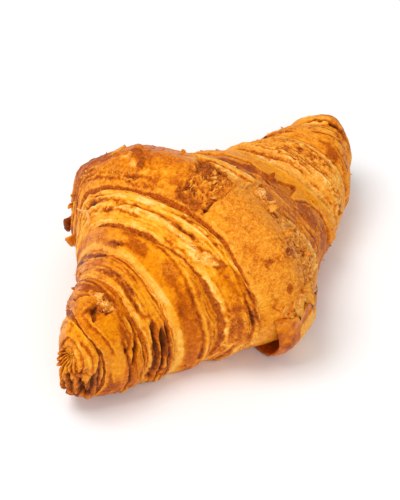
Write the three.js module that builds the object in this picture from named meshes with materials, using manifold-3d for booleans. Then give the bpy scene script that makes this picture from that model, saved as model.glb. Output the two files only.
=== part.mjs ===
// A straight butter croissant, modelled as one closed solid in millimetres.
// +X runs from the blunt near tip to the far tip, +Z is up, and the flat underside rests on z = 0.
// The dough is a rolled triangle: each turn of the roll ends in a lip that overlaps the turn outside it, so the
// surface is a spindle with a step at every lip. The triangle's own point comes out from under the right side (-Y)
// as a loose tail that curls up against the roll.
import * as THREE from "three";
import { mergeVertices } from "three/addons/utils/BufferGeometryUtils.js";
import Module from "manifold-3d";

// Driving dimensions
const WIDEST_LEVEL = 0.42; // share of the height at which a section is widest
const UNDERSIDE = 1.3; // how much deeper than its resting height the round underside would reach
const RESTING_HALF = 35; // the underside lies on the table to this x each way, and the tips curl up beyond it
const CURL_REACH = 40; // distance over which a tip curls up
const NEAR_CURL = 11.4;
const FAR_CURL = 1.5;
const CURLED_FLAT = 0.74; // share of the curl that the flat underside follows
const CLEARANCE = 0.5; // gap under the crust round the pad that the roll rests on
const PAD = { half: 30, left: 17.5, right: 15.5, height: 3 }; // the patch that baked flat against the tray
const AROUND = 54; // faces around the roll
const END_RING = 0.55; // size of the ring inside each blunt end
const END_BULGE = 1.6; // how far that ring stands out of the end
const END_DISH = 0.8; // how far the middle of the end stands out

// The spindle's outer form: half-width on the left (+Y) and right (-Y) side, and height, at places along the roll.
const FORM = [
  { x: -73, left: 3, right: 5, height: 23.5 },
  { x: -67, left: 7.5, right: 9.5, height: 29 },
  { x: -56, left: 14.5, right: 14, height: 35 },
  { x: -41, left: 21.5, right: 19, height: 43.5 },
  { x: -30, left: 30, right: 27.5, height: 51 },
  { x: -20, left: 43, right: 39, height: 57 },
  { x: -8, left: 50.5, right: 45.5, height: 61 },
  { x: 4, left: 49, right: 42, height: 55.5 },
  { x: 13, left: 41.5, right: 39.5, height: 49 },
  { x: 20, left: 35.5, right: 35.5, height: 43.5 },
  { x: 27, left: 30.5, right: 31, height: 39 },
  { x: 36, left: 25.5, right: 26.5, height: 35.5 },
  { x: 45, left: 22, right: 23.5, height: 35 },
  { x: 54, left: 19, right: 20.5, height: 34.5 },
  { x: 62, left: 15.5, right: 16.5, height: 34 },
  { x: 70, left: 12, right: 11, height: 32.5 },
  { x: 77, left: 8, right: 5, height: 27 },
];
const NEAR_END = FORM[0].x;
const FAR_END = FORM[FORM.length - 1].x;

// The lips, from the near tip to the far one. A lip lies at x on the top of the roll. lean carries its right side
// towards +X and its left side towards -X, and bow carries both sides towards +X. step is the drop outside the lip,
// and rise is the share of the next turn over which the surface comes back up.
const LIPS = [
  { x: -65, lean: -4.4, bow: 5.6, step: 1.8, rise: 0.5 },
  { x: -48.7, lean: -1.9, bow: 2.6, step: 2.0, rise: 0.35 },
  { x: -39.2, lean: -2.8, bow: 3.2, step: 2.2, rise: 0.35 },
  { x: -29.7, lean: 0.8, bow: 1.5, step: 2.0, rise: 0.35 },
  { x: -17.6, lean: 0.7, bow: -3.1, step: 3.0, rise: 0.3 },
  { x: 10.6, lean: 4.5, bow: 1.5, step: 3.0, rise: 0.55 },
  { x: 36.2, lean: 3.2, bow: 2, step: 2.6, rise: 0.35 },
  { x: 53.2, lean: 3.6, bow: 0.5, step: 1.8, rise: 0.3 },
  { x: 64.5, lean: 5, bow: 0, step: 1.6, rise: 0.3 },
];
const MIDDLE = 5; // this turn is the middle one: the lips before it face -X, and the others +X
const TURN_BULGE = 0.9; // how far a turn swells between its lips
const LIP_REACH = 0.7; // length along the roll of the drop at a lip
const TURN_STATIONS = [0, 0.06, 0.15, 0.3, 0.45, 0.6, 0.75, 0.9, 1];

// Slow unevenness of the hand-rolled dough: size, waves along the roll for each millimetre, waves around it, phase.
const LUMPS = [
  { size: 0.7, along: 0.085, around: 2, phase: 0.6 },
  { size: 0.5, along: -0.13, around: 3, phase: 2.1 },
  { size: 0.35, along: 0.21, around: 5, phase: 4.0 },
];

// The tail: a tongue that leaves the underside, lies on the table and curls up beside the roll.
const TAIL = { x: -3, rootWidth: 15, rimWidth: 22, thickness: 2.4, droop: 0.34, ripple: 0.5, follow: 1.5 };
const TAIL_STEPS = { across: 10, along: 12 };
const TAIL_WAVES = 9; // waves of the ripple along the rim, in radians from side to side
const TAIL_LINE = [
  { x: 0, out: 25, z: 1.3 },
  { x: 0.3, out: 34.5, z: 1.4 },
  { x: 0.5, out: 39.5, z: 4.2 },
  { x: 0.72, out: 43, z: 11.5 },
  { x: 1, out: 45.9, z: 21.5 },
];

// Torn crust that stands off the surface: its place along and around the roll, its size, the angle in degrees that
// it lifts at, and the angle that it is turned by on the surface.
const FLAKES = [
  { x: -19, around: -84, length: 8, width: 8, lift: 38, turn: 25 },
  { x: -3, around: -50, length: 7, width: 6, lift: 24, turn: 75 },
  { x: 9, around: 13, length: 8, width: 8, lift: 14, turn: 100 },
];
const FLAKE_THICKNESS = 1.6;
const FLAKE_ROOT = 3.5; // length of a flake that is sunk in the dough

const NUDGE = 0.01; // small step in a share or an angle, to find which way a surface faces
const MERGE = 1e-4; // points this close are one

/** A smooth curve through one key of a list of stations that are sorted by x, with no overshoot. */
function through(stations, key, x) {
  const last = stations.length - 1;
  const slope = (i) =>
    (stations[i + 1][key] - stations[i][key]) / (stations[i + 1].x - stations[i].x);
  const tangent = (i) => {
    if (i === 0) return slope(0);
    if (i === last) return slope(last - 1);
    const before = slope(i - 1);
    const after = slope(i);
    return before * after > 0 ? (2 * before * after) / (before + after) : 0;
  };
  const inside = Math.min(Math.max(x, stations[0].x), stations[last].x);
  const beyond = stations.findIndex((s) => s.x > inside);
  const i = beyond < 0 ? last - 1 : beyond - 1;
  const span = stations[i + 1].x - stations[i].x;
  const t = (inside - stations[i].x) / span;
  const keep = 1 - t;
  return (
    keep * keep * (1 + 2 * t) * stations[i][key] +
    t * t * (3 - 2 * t) * stations[i + 1][key] +
    t * keep * keep * span * tangent(i) -
    t * t * keep * span * tangent(i + 1)
  );
}

/** The share from 0 to 1 at which a value lies between two ends, eased at both. */
function eased(value, from, to) {
  const t = Math.min(Math.max((value - from) / (to - from), 0), 1);
  return t * t * (3 - 2 * t);
}

/** A point of the roll at a depth below its outer form. around is 0 on top and grows towards -Y. */
function surfacePoint(x, around, depth) {
  const height = through(FORM, "height", x);
  const reach = Math.max(Math.abs(x) - RESTING_HALF, 0) / CURL_REACH;
  const curl = (x < 0 ? NEAR_CURL : FAR_CURL) * reach * reach;
  const half = through(FORM, Math.sin(around) > 0 ? "right" : "left", x);
  const rise = WIDEST_LEVEL * height;
  const vertical = Math.cos(around) > 0 ? height - rise : rise * UNDERSIDE;
  const outY = -Math.sin(around) / half;
  const outZ = Math.cos(around) / vertical;
  const outLength = Math.hypot(outY, outZ);
  const y = -half * Math.sin(around) - (depth * outY) / outLength;
  const z = curl + rise + vertical * Math.cos(around) - (depth * outZ) / outLength;
  return new THREE.Vector3(x, y, Math.max(z, curl * CURLED_FLAT, CLEARANCE));
}

/** Where a lip, or an end of the roll, lies along the roll at a place around it. */
function edgeAt(edge, around) {
  const side = Math.sin(around);
  return edge.x + edge.lean * side + edge.bow * side * side;
}

/** The slow unevenness at a place on the roll. */
function lumpsAt(x, around) {
  return LUMPS.reduce(
    (sum, l) => sum + l.size * Math.sin(l.along * x + l.around * around + l.phase),
    0,
  );
}

/** The rows of the surface from end to end. Each row gives x and depth at a place around the roll. */
function surfaceRows() {
  const end = (x) => ({ x, lean: 0, bow: 0, step: 0, rise: 1 });
  const edges = [end(NEAR_END), ...LIPS, end(FAR_END)];
  const rows = [];
  for (let turn = 0; turn + 1 < edges.length; turn++) {
    const near = edges[turn];
    const far = edges[turn + 1];
    const nearGap = turn > MIDDLE ? LIP_REACH : 0;
    const farGap = turn < MIDDLE ? LIP_REACH : 0;
    const inner = turn < MIDDLE ? far : near;
    for (const station of TURN_STATIONS) {
      const fromInner = turn < MIDDLE ? 1 - station : station;
      const drop = turn === MIDDLE ? 0 : inner.step * (1 - eased(fromInner, 0, inner.rise));
      const swell = TURN_BULGE * Math.sin(Math.PI * station);
      rows.push((around) => {
        const nearX = edgeAt(near, around) + nearGap;
        const farX = edgeAt(far, around) - farGap;
        const x = nearX + (farX - nearX) * station;
        return { x, depth: drop - swell - lumpsAt(x, around) };
      });
    }
  }
  return rows;
}

/** Adds the ring and the middle point that close one blunt end, dished like the end of a rolled sheet. */
function closeEnd(positions, faces, start, outward) {
  const rim = [];
  for (let j = 0; j < AROUND; j++) {
    rim.push(new THREE.Vector3().fromArray(positions, 3 * (start + j)));
  }
  const centre = rim.reduce((sum, p) => sum.add(p), new THREE.Vector3()).divideScalar(AROUND);
  const ring = positions.length / 3;
  for (const p of rim) {
    const inner = centre.clone().lerp(p, END_RING);
    positions.push(inner.x + outward * END_BULGE, inner.y, inner.z);
  }
  const middle = positions.length / 3;
  positions.push(centre.x + outward * END_DISH, centre.y, centre.z);
  const addFace = (a, b, c) => faces.push(...(outward > 0 ? [a, b, c] : [a, c, b]));
  for (let j = 0; j < AROUND; j++) {
    const next = (j + 1) % AROUND;
    addFace(start + j, start + next, ring + j);
    addFace(start + next, ring + next, ring + j);
    addFace(ring + j, ring + next, middle);
  }
}

/** The closed surface of the roll, with shared vertices. */
function rollGeometry() {
  const positions = [];
  const faces = [];
  const rows = surfaceRows();
  for (const row of rows) {
    for (let j = 0; j < AROUND; j++) {
      const around = (2 * Math.PI * (j + 0.5)) / AROUND;
      const { x, depth } = row(around);
      positions.push(...surfacePoint(x, around, depth).toArray());
    }
  }
  for (let i = 0; i + 1 < rows.length; i++) {
    for (let j = 0; j < AROUND; j++) {
      const here = i * AROUND + j;
      const beside = i * AROUND + ((j + 1) % AROUND);
      faces.push(here, beside, here + AROUND, beside, beside + AROUND, here + AROUND);
    }
  }
  closeEnd(positions, faces, 0, -1);
  closeEnd(positions, faces, (rows.length - 1) * AROUND, 1);
  const geometry = new THREE.BufferGeometry();
  geometry.setAttribute("position", new THREE.Float32BufferAttribute(positions, 3));
  geometry.setIndex(faces);
  return geometry;
}

/** The middle of the tail's thickness at shares from 0 to 1 across it and along it. */
function tailPoint(across, along) {
  const width = TAIL.rootWidth + (TAIL.rimWidth - TAIL.rootWidth) * along;
  const x = TAIL.x + (across - 0.5) * width;
  const narrowing = through(FORM, "right", TAIL.x) - through(FORM, "right", x);
  const out = through(TAIL_LINE, "out", along) - TAIL.follow * narrowing * along;
  const ripple = TAIL.ripple * Math.sin(TAIL_WAVES * across) * along;
  const height = through(TAIL_LINE, "z", along) * (1 - TAIL.droop * across * along);
  return new THREE.Vector3(x, -(out + ripple), height);
}

/** The tail: a sheet of even thickness, with both faces split into triangles alike. */
function tailGeometry() {
  const { across, along } = TAIL_STEPS;
  const sides = [1, -1].map((side) => {
    const points = [];
    for (let i = 0; i <= across; i++) {
      for (let j = 0; j <= along; j++) {
        const u = i / across;
        const v = j / along;
        const place = tailPoint(u, v);
        const ahead = tailPoint(u, v + NUDGE).sub(tailPoint(u, v - NUDGE));
        const beside = tailPoint(u + NUDGE, v).sub(tailPoint(u - NUDGE, v));
        const normal = beside.cross(ahead).normalize();
        const point = place.addScaledVector(normal, (side * TAIL.thickness) / 2);
        point.z = Math.max(point.z, CLEARANCE);
        points.push(point);
      }
    }
    return points;
  });
  const positions = sides.flat().flatMap((p) => p.toArray());
  const row = along + 1;
  const back = (across + 1) * row;
  const faces = [];
  for (let i = 0; i < across; i++) {
    for (let j = 0; j < along; j++) {
      const a = i * row + j;
      faces.push(a, a + row, a + 1, a + 1, a + row, a + row + 1);
      faces.push(back + a, back + a + 1, back + a + row);
      faces.push(back + a + 1, back + a + row + 1, back + a + row);
    }
  }
  const wall = (a, b) => faces.push(a, b, back + b, a, back + b, back + a);
  for (let i = 0; i < across; i++) {
    wall((i + 1) * row, i * row);
    wall(i * row + along, (i + 1) * row + along);
  }
  for (let j = 0; j < along; j++) {
    wall(j, j + 1);
    wall(across * row + j + 1, across * row + j);
  }
  const geometry = new THREE.BufferGeometry();
  geometry.setAttribute("position", new THREE.Float32BufferAttribute(positions, 3));
  geometry.setIndex(faces);
  return geometry;
}

/** One torn flake: a thin pointed plate that stands off the surface, with its root in the dough. */
function flakeGeometry(flake) {
  const shape = new THREE.Shape();
  shape.moveTo(-flake.width / 2, -FLAKE_ROOT);
  shape.lineTo(flake.width / 2, -FLAKE_ROOT);
  shape.lineTo(flake.width * 0.42, flake.length * 0.55);
  shape.lineTo(flake.width * 0.1, flake.length);
  shape.lineTo(-flake.width * 0.4, flake.length * 0.7);
  const geometry = new THREE.ExtrudeGeometry(shape, {
    depth: FLAKE_THICKNESS,
    bevelEnabled: false,
  });
  const around = THREE.MathUtils.degToRad(flake.around);
  const place = surfacePoint(flake.x, around, FLAKE_THICKNESS);
  const round = surfacePoint(flake.x, around + NUDGE, FLAKE_THICKNESS).sub(place).normalize();
  const near = surfacePoint(flake.x - 1, around, FLAKE_THICKNESS).sub(place).normalize();
  const out = new THREE.Vector3().crossVectors(round, near).normalize();
  const turned = near.applyAxisAngle(out, THREE.MathUtils.degToRad(flake.turn));
  const lift = THREE.MathUtils.degToRad(flake.lift);
  const length = turned.multiplyScalar(Math.cos(lift)).addScaledVector(out, Math.sin(lift));
  const across = new THREE.Vector3().crossVectors(length, out).normalize();
  const thick = new THREE.Vector3().crossVectors(across, length);
  geometry.applyMatrix4(new THREE.Matrix4().makeBasis(across, length, thick).setPosition(place));
  return geometry;
}

/** The flat patch of the underside, which stands on the table at its four corners. */
function padGeometry() {
  const width = PAD.left + PAD.right;
  const pad = new THREE.BoxGeometry(2 * PAD.half, width, PAD.height);
  return pad.translate(0, (PAD.left - PAD.right) / 2, PAD.height / 2);
}

const wasm = await Module();
wasm.setup();

/** A closed geometry as a solid that can be joined. */
function solidOf(geometry) {
  const bare = geometry.clone();
  bare.deleteAttribute("normal");
  bare.deleteAttribute("uv");
  const merged = mergeVertices(bare, MERGE);
  return new wasm.Manifold(
    new wasm.Mesh({
      numProp: 3,
      vertProperties: new Float32Array(merged.getAttribute("position").array),
      triVerts: new Uint32Array(merged.index.array),
    }),
  );
}

/** A solid as a geometry for a mesh. */
function geometryOf(solid) {
  const mesh = solid.getMesh();
  const geometry = new THREE.BufferGeometry();
  geometry.setAttribute("position", new THREE.BufferAttribute(mesh.vertProperties, 3));
  geometry.setIndex(new THREE.BufferAttribute(mesh.triVerts, 1));
  geometry.computeVertexNormals();
  return geometry;
}

let dough = solidOf(rollGeometry()).add(solidOf(tailGeometry())).add(solidOf(padGeometry()));
for (const flake of FLAKES) {
  dough = dough.add(solidOf(flakeGeometry(flake)));
}

const crust = new THREE.MeshStandardMaterial({ color: "#d98425", roughness: 0.5, metalness: 0 });
const croissant = new THREE.Mesh(geometryOf(dough), crust);
croissant.name = "croissant";

const part = new THREE.Group();
part.add(croissant);
export default part;
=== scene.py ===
"""A straight butter croissant on a pale table: the crust of each turn, the tail and the torn flakes.

Sizes are in millimetres until a mesh is made. +X runs from the near tip to the far one, and an angle
around the roll is 0 on top and grows towards -Y, the roll's right side. A shade called bake runs from
0, pale, to 1, burnt. It holds how far the oven browned each place, and also painted shade in grooves,
creases, gaps and under lips, and painted highlights on crests and edges. One called dry runs from 0,
glossy with egg wash, to 1, matte torn layers.
"""

import logging
import math
from dataclasses import dataclass, field
from enum import Enum
from typing import Sequence

import bpy
import numpy as np
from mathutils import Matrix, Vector


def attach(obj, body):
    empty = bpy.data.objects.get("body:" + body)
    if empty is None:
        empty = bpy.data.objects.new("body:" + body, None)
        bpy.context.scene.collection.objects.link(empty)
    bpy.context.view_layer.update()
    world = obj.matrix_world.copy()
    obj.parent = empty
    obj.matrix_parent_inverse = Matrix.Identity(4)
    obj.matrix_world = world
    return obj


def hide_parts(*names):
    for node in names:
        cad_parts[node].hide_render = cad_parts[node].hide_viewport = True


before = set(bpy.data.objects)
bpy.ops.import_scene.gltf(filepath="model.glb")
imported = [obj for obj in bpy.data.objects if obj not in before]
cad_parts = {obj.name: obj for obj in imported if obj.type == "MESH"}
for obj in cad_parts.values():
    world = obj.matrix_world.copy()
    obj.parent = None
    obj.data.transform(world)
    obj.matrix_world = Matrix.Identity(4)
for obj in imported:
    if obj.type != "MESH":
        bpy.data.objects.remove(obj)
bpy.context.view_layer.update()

log = logging.getLogger("croissant")

NODE = "croissant"
BODY = "root"
MM = 0.001


def eased(value: np.ndarray, low: float, high: float) -> np.ndarray:
    """Returns the share of the way from low to high, from 0 to 1, eased at both ends."""
    share = np.clip((value - low) / (high - low), 0.0, 1.0)
    return share * share * (3.0 - 2.0 * share)


def through(places: Sequence[float], values: Sequence[float], at: np.ndarray) -> np.ndarray:
    """Draws a smooth curve through values, with no overshoot.

    Args:
        places: Where the values are, in rising order.
        values: The values.
        at: Where to read the curve.

    Returns:
        The curve's values there.
    """
    xs, ys = np.asarray(places, float), np.asarray(values, float)
    slope = np.diff(ys) / np.diff(xs)
    product, total = slope[:-1] * slope[1:], slope[:-1] + slope[1:]
    tangent = np.empty(len(xs))
    tangent[0], tangent[-1] = slope[0], slope[-1]
    tangent[1:-1] = np.where(product > 0, 2 * product / np.where(total == 0, 1, total), 0)
    inside = np.clip(at, xs[0], xs[-1])
    i = np.clip(np.searchsorted(xs, inside, side="right") - 1, 0, len(xs) - 2)
    span = xs[i + 1] - xs[i]
    t = (inside - xs[i]) / span
    keep = 1 - t
    ends = keep * keep * (1 + 2 * t) * ys[i] + t * t * (3 - 2 * t) * ys[i + 1]
    return ends + t * keep * span * (keep * tangent[i] - t * tangent[i + 1])


class Noise:
    """Smooth random values in space, from -1 to 1, the same on each run."""

    SIZE = 32

    def __init__(self, seed: int) -> None:
        """Draws the random lattice."""
        self.table = np.random.RandomState(seed).uniform(-1, 1, (self.SIZE,) * 3)

    def at(self, *place: np.ndarray) -> np.ndarray:
        """Reads the noise.

        Args:
            place: x, y and z, where the lattice spacing is 1.

        Returns:
            The values there.
        """
        x, y, z = np.broadcast_arrays(*place)
        cells, shares = [], []
        for axis in (x, y, z):
            whole = np.floor(axis)
            share = axis - whole
            cells.append(whole.astype(int) % self.SIZE)
            shares.append(share * share * (3 - 2 * share))
        total = np.zeros(x.shape)
        for corner in range(8):
            weight = np.ones(x.shape)
            index = []
            for axis in range(3):
                step = corner >> axis & 1
                index.append((cells[axis] + step) % self.SIZE)
                weight = weight * (shares[axis] if step else 1 - shares[axis])
            total += weight * self.table[tuple(index)]
        return total

    def rough(self, *place: np.ndarray, octaves: int = 3) -> np.ndarray:
        """Adds up ever finer and weaker noise.

        Args:
            place: x, y and z, where the coarsest lattice has a spacing of 1.
            octaves: How many layers of noise are added.

        Returns:
            The sums there.
        """
        total = np.zeros(np.broadcast_shapes(*(np.shape(axis) for axis in place)))
        for octave in range(octaves):
            scale = 2.03**octave
            total += self.at(*(axis * scale + 7.1 * octave for axis in place)) * 0.55**octave
        return total


@dataclass(frozen=True)
class Station:
    """The outer form of the roll at one place: x, half-widths on the +Y and -Y side, and height."""

    x: float
    left: float
    right: float
    height: float


@dataclass(frozen=True)
class Spindle:
    """The outer form of the roll, as in the part's solid.

    A section is widest at widest_level of its height. Below that its round is drawn underside times as
    deep, and the flat underside cuts it off. The roll lies level over resting_half to each side of its
    middle. Beyond that its ends curl up, by near_curl and far_curl at curl_reach farther out, and
    curled_flat is the share of the curl by which their flat underside rises. Each of the lumps is a wave
    with its height, its rate along x and around, and its phase.
    """

    stations: tuple[Station, ...] = (
        Station(-73, 3, 5, 23.5),
        Station(-67, 7.5, 9.5, 29),
        Station(-56, 14.5, 14, 35),
        Station(-41, 21.5, 19, 43.5),
        Station(-30, 30, 27.5, 51),
        Station(-20, 43, 39, 57),
        Station(-8, 50.5, 45.5, 61),
        Station(4, 49, 42, 55.5),
        Station(13, 41.5, 39.5, 49),
        Station(20, 35.5, 35.5, 43.5),
        Station(27, 30.5, 31, 39),
        Station(36, 25.5, 26.5, 35.5),
        Station(45, 22, 23.5, 35),
        Station(54, 19, 20.5, 34.5),
        Station(62, 15.5, 16.5, 34),
        Station(70, 12, 11, 32.5),
        Station(77, 8, 5, 27),
    )
    widest_level: float = 0.42
    underside: float = 1.3
    resting_half: float = 35
    curl_reach: float = 40
    near_curl: float = 11.4
    far_curl: float = 1.5
    curled_flat: float = 0.74
    lumps: tuple[tuple[float, float, int, float], ...] = (
        (0.7, 0.085, 2, 0.6),
        (0.5, -0.13, 3, 2.1),
        (0.35, 0.21, 5, 4.0),
    )

    def read(self, key: str, x: np.ndarray) -> np.ndarray:
        """Returns one of the stations' sizes at x."""
        return through([s.x for s in self.stations], [getattr(s, key) for s in self.stations], x)

    def radius(self, x: float) -> float:
        """Returns the mean radius of the section at x."""
        size = np.array([x])
        half = (self.read("left", size) + self.read("right", size)) / 2
        return float((half + self.read("height", size) / 2)[0] / 2)

    def unevenness(self, x: np.ndarray, around: np.ndarray) -> np.ndarray:
        """Returns how far the hand-rolled dough stands out of its form."""
        return sum(size * np.sin(k * x + n * around + phase) for size, k, n, phase in self.lumps)

    def point(self, x: np.ndarray, around: np.ndarray, height: np.ndarray) -> np.ndarray:
        """Places points on the roll.

        Args:
            x: Place along the roll.
            around: Angle around it.
            height: How far the points stand out of the form.

        Returns:
            An array with x, y and z last.
        """
        tall = self.read("height", x)
        reach = np.maximum(np.abs(x) - self.resting_half, 0) / self.curl_reach
        curl = np.where(x < 0, self.near_curl, self.far_curl) * reach**2
        half = np.where(np.sin(around) > 0, self.read("right", x), self.read("left", x))
        rise = self.widest_level * tall
        vertical = np.where(np.cos(around) > 0, tall - rise, rise * self.underside)
        out_y, out_z = -np.sin(around) / half, np.cos(around) / vertical
        length = np.hypot(out_y, out_z)
        y = -half * np.sin(around) + height * out_y / length
        z = curl + rise + vertical * np.cos(around) + height * out_z / length
        floor = curl * self.curled_flat
        return np.stack([x, y, np.maximum(z, floor)], -1)


@dataclass(frozen=True)
class Lip:
    """The edge where a turn of the dough ends.

    x is its place on top of the roll, lean and bow carry its sides along the roll, sweep carries its
    left side on, and traced adds offsets along x at angles in degrees. step is the drop outside it,
    rise the share of the covered turn over which the drop runs out, slope how far out the foot of its
    face lies, and widen what slope gains on the right side. wander, ragged and torn are how far the
    edge strays over a centimetre, over a millimetre, and in torn notches on the right side. edge shades
    the crest, lighter partly for its pale layer edge and partly as a painted highlight. pale is the
    share of the face that shows pale layers, and face the shade of the rest, partly browner dough and
    partly painted shade. foot is how far that shade reaches over the covered turn, as a painted shade
    under the lip.
    """

    x: float
    lean: float = 0
    bow: float = 0
    step: float = 0
    rise: float = 0.3
    sweep: float = 0
    slope: float = 0.0
    wander: float = 0.6
    ragged: float = 0.3
    torn: float = 0.0
    face: float = 0.8
    edge: float = 0.0
    pale: float = 0.3
    foot: float = 0.8
    widen: float = 0.0
    traced: tuple[tuple[float, float], ...] = ((-180, 0), (180, 0))

    def at(self, around: np.ndarray, radius: float) -> np.ndarray:
        """Works out where the edge runs.

        Args:
            around: Angles around the roll.
            radius: The roll's mean radius there.

        Returns:
            The edge's x at those angles.
        """
        side = np.sin(around)
        noise = Noise(int(1000 + self.x))
        y, z = radius * np.sin(around), radius * np.cos(around)
        slow = noise.at(y / 11, z / 11, np.zeros(1))
        fast = noise.rough(y / 1.7, z / 1.7, np.ones(1) * 5.5)
        notches = np.round(1.6 * noise.rough(y / 3.4, z / 3.4, np.ones(1) * 9.5, octaves=2))
        torn = self.torn * notches * eased(np.degrees(around), 30, 55)
        swept = self.sweep * eased(-np.degrees(around), 45, 90)
        strays = np.interp(np.degrees(around), *zip(*self.traced))
        form = self.x + self.lean * side + self.bow * side**2 + swept + strays
        return form + self.wander * slow + self.ragged * fast + torn


class Facing(Enum):
    """The way that a turn's own lip faces along the roll."""

    NEAR = -1
    FAR = 1


@dataclass(frozen=True)
class Layers:
    """A stack of dough layers whose edges show as ridges along the lips.

    spacing is the distance between the ridges and depth their height. span is the stretch of the turn
    from the inner lip, 0, to its own, 1, and arc the angles in degrees, which fade in and out over
    soft_arc. crest lightens the ridges, groove darkens what lies between them as a painted shade, and
    wander is how far they stray along the roll.
    """

    spacing: float
    depth: float
    span: tuple[float, float] = (0.0, 1.0)
    arc: tuple[float, float] = (-180.0, 180.0)
    crest: float = 0.12
    groove_shade: float = 0.25
    wander: float = 0.5
    soft_arc: float = 14.0


@dataclass(frozen=True)
class Patch:
    """A marked place on the crust: a stain, blister, hole or torn area.

    x and around place it, along and across are its half-sizes, and turn is its angle on the surface.
    Its outline fades over soft and strays by ragged. lift raises it, crumb roughens it, and bake and
    dry are the shade that it takes, where they are stated; some patches paint a highlight this way.
    weight is how much of all that it gets.
    """

    x: float
    around: float
    along: float
    across: float
    turn: float = 0
    soft: float = 0.7
    ragged: float = 0.6
    lift: float = 0
    crumb: float = 0
    bake: float | None = None
    dry: float | None = None
    weight: float = 1.0


@dataclass(frozen=True)
class Area:
    """A torn area with corners, each at x and an angle. It roughens and shades the crust as a patch does.

    crumb_size is the size of its crumbs, in millimetres.
    """

    corners: tuple[tuple[float, float], ...]
    soft: float = 0.5
    ragged: float = 0.7
    lift: float = 0
    crumb: float = 0
    crumb_size: float = 1.1
    bake: float | None = None
    dry: float | None = None


@dataclass(frozen=True)
class Stroke:
    """A ridge, a crease or the torn edge of a sheet, drawn through points at x and an angle.

    height is how far it stands out, over width, and bake and dry are added along it: along a crease the
    darker bake is a painted shade, and along a ridge a lighter one is partly pale layers and partly a
    painted highlight. With cover 1 or -1 it is the edge of a sheet that lies on the left or right of the
    line, as seen from outside along it, and thins over run. shadow then darkens the crust beside the edge
    as a painted shadow, and rim lightens the edge, partly its pale torn layer and partly a painted
    highlight. ragged is how far it strays.
    """

    points: tuple[tuple[float, float], ...]
    width: float = 0.5
    height: float = 0
    bake: float = 0
    dry: float = 0
    cover: int = 0
    run: float = 4
    ragged: float = 0.25
    shadow: float = 0.3
    rim: float = 0.1


@dataclass(frozen=True)
class TurnLook:
    """How the crust of one turn is baked and marked.

    bake and dry are its main shades, and blotch is how much its bake varies from place to place. pits
    and wrinkle are how deep its pits and folds are, with their sizes in millimetres. grain is the
    strength of the fine streaks that run around the roll, grain_stretch how much they are drawn out
    that way, and sheets the count of short torn edges.
    """

    bake: float
    dry: float
    blotch: float = 0.07
    pits: float = 0.06
    pit_size: float = 1.2
    wrinkle: float = 0.35
    wrinkle_size: float = 2.2
    grain: float = 0.4
    grain_stretch: float = 5.0
    sheets: int = 20
    layers: tuple[Layers, ...] = ()
    areas: tuple[Area, ...] = ()
    strokes: tuple[Stroke, ...] = ()
    patches: tuple[Patch, ...] = ()


def make_mesh(name: str, points: np.ndarray, quads: np.ndarray, triangles: np.ndarray) -> bpy.types.Object:
    """Makes a smooth mesh object.

    Args:
        name: The piece's name.
        points: Vertices in millimetres, one row each.
        quads: Faces of four vertices.
        triangles: Faces of three.

    Returns:
        The object, linked to the scene.
    """
    mesh = bpy.data.meshes.new(name)
    corners = np.concatenate([quads.ravel(), triangles.ravel()]).astype(np.int32)
    starts = np.concatenate([
        np.arange(len(quads)) * 4,
        len(quads) * 4 + np.arange(len(triangles)) * 3,
    ]).astype(np.int32)
    mesh.vertices.add(len(points))
    mesh.vertices.foreach_set("co", (points * MM).astype(np.float32).ravel())
    mesh.loops.add(len(corners))
    mesh.loops.foreach_set("vertex_index", corners)
    mesh.polygons.add(len(starts))
    mesh.polygons.foreach_set("loop_start", starts)
    mesh.polygons.foreach_set("use_smooth", np.ones(len(starts), bool))
    mesh.update(calc_edges=True)
    mesh.validate()
    piece = bpy.data.objects.new(name, mesh)
    bpy.context.scene.collection.objects.link(piece)
    return piece


def outward(points: np.ndarray, quads: np.ndarray) -> np.ndarray:
    """Turns a closed skin outwards.

    Args:
        points: Its vertices.
        quads: Its faces, all wound the same way.

    Returns:
        The quads, wound so that they face outwards.
    """
    a, b, c, d = (points[quads[:, i]] for i in range(4))
    volume = (a * (np.cross(b, c) + np.cross(c, d))).sum()
    return quads if volume > 0 else quads[:, ::-1]


def paint(piece: bpy.types.Object, name: str, values: np.ndarray) -> None:
    """Stores one value for each vertex.

    Args:
        piece: The mesh object.
        name: The name that the material reads them by.
        values: The values.
    """
    layer = piece.data.attributes.new(name, "FLOAT", "POINT")
    layer.data.foreach_set("value", values.astype(np.float32).ravel())


class Tube:
    """A closed skin of rings, with a middle point that shuts each end."""

    def __init__(self, rings: np.ndarray) -> None:
        """Keeps the rings, an array of ring, place in the ring, and x, y and z."""
        self.rings = rings

    def build(self, name: str, shades: dict[str, np.ndarray]) -> bpy.types.Object:
        """Makes the piece.

        Args:
            name: The piece's name.
            shades: Values for each place of each ring.

        Returns:
            The object.
        """
        count, around = self.rings.shape[:2]
        ends = np.stack([self.rings[0].mean(0), self.rings[-1].mean(0)])
        points = np.concatenate([self.rings.reshape(-1, 3), ends])
        i, j = np.meshgrid(np.arange(count - 1), np.arange(around), indexing="ij")
        here, beside = i * around + j, i * around + (j + 1) % around
        quads = np.stack([here, beside, beside + around, here + around], -1).reshape(-1, 4)
        turned = outward(points, quads)
        j = np.arange(around)
        following = (j + 1) % around
        last = (count - 1) * around
        first_fan = np.stack([following, j, np.full(around, count * around)], -1)
        last_fan = np.stack([last + j, last + following, np.full(around, count * around + 1)], -1)
        fans = np.concatenate([first_fan, last_fan])
        piece = make_mesh(name, points, turned, fans if turned is quads else fans[:, ::-1])
        for key, values in shades.items():
            paint(piece, key, np.concatenate([values.ravel(), [values[0].mean(), values[-1].mean()]]))
        return piece


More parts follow.
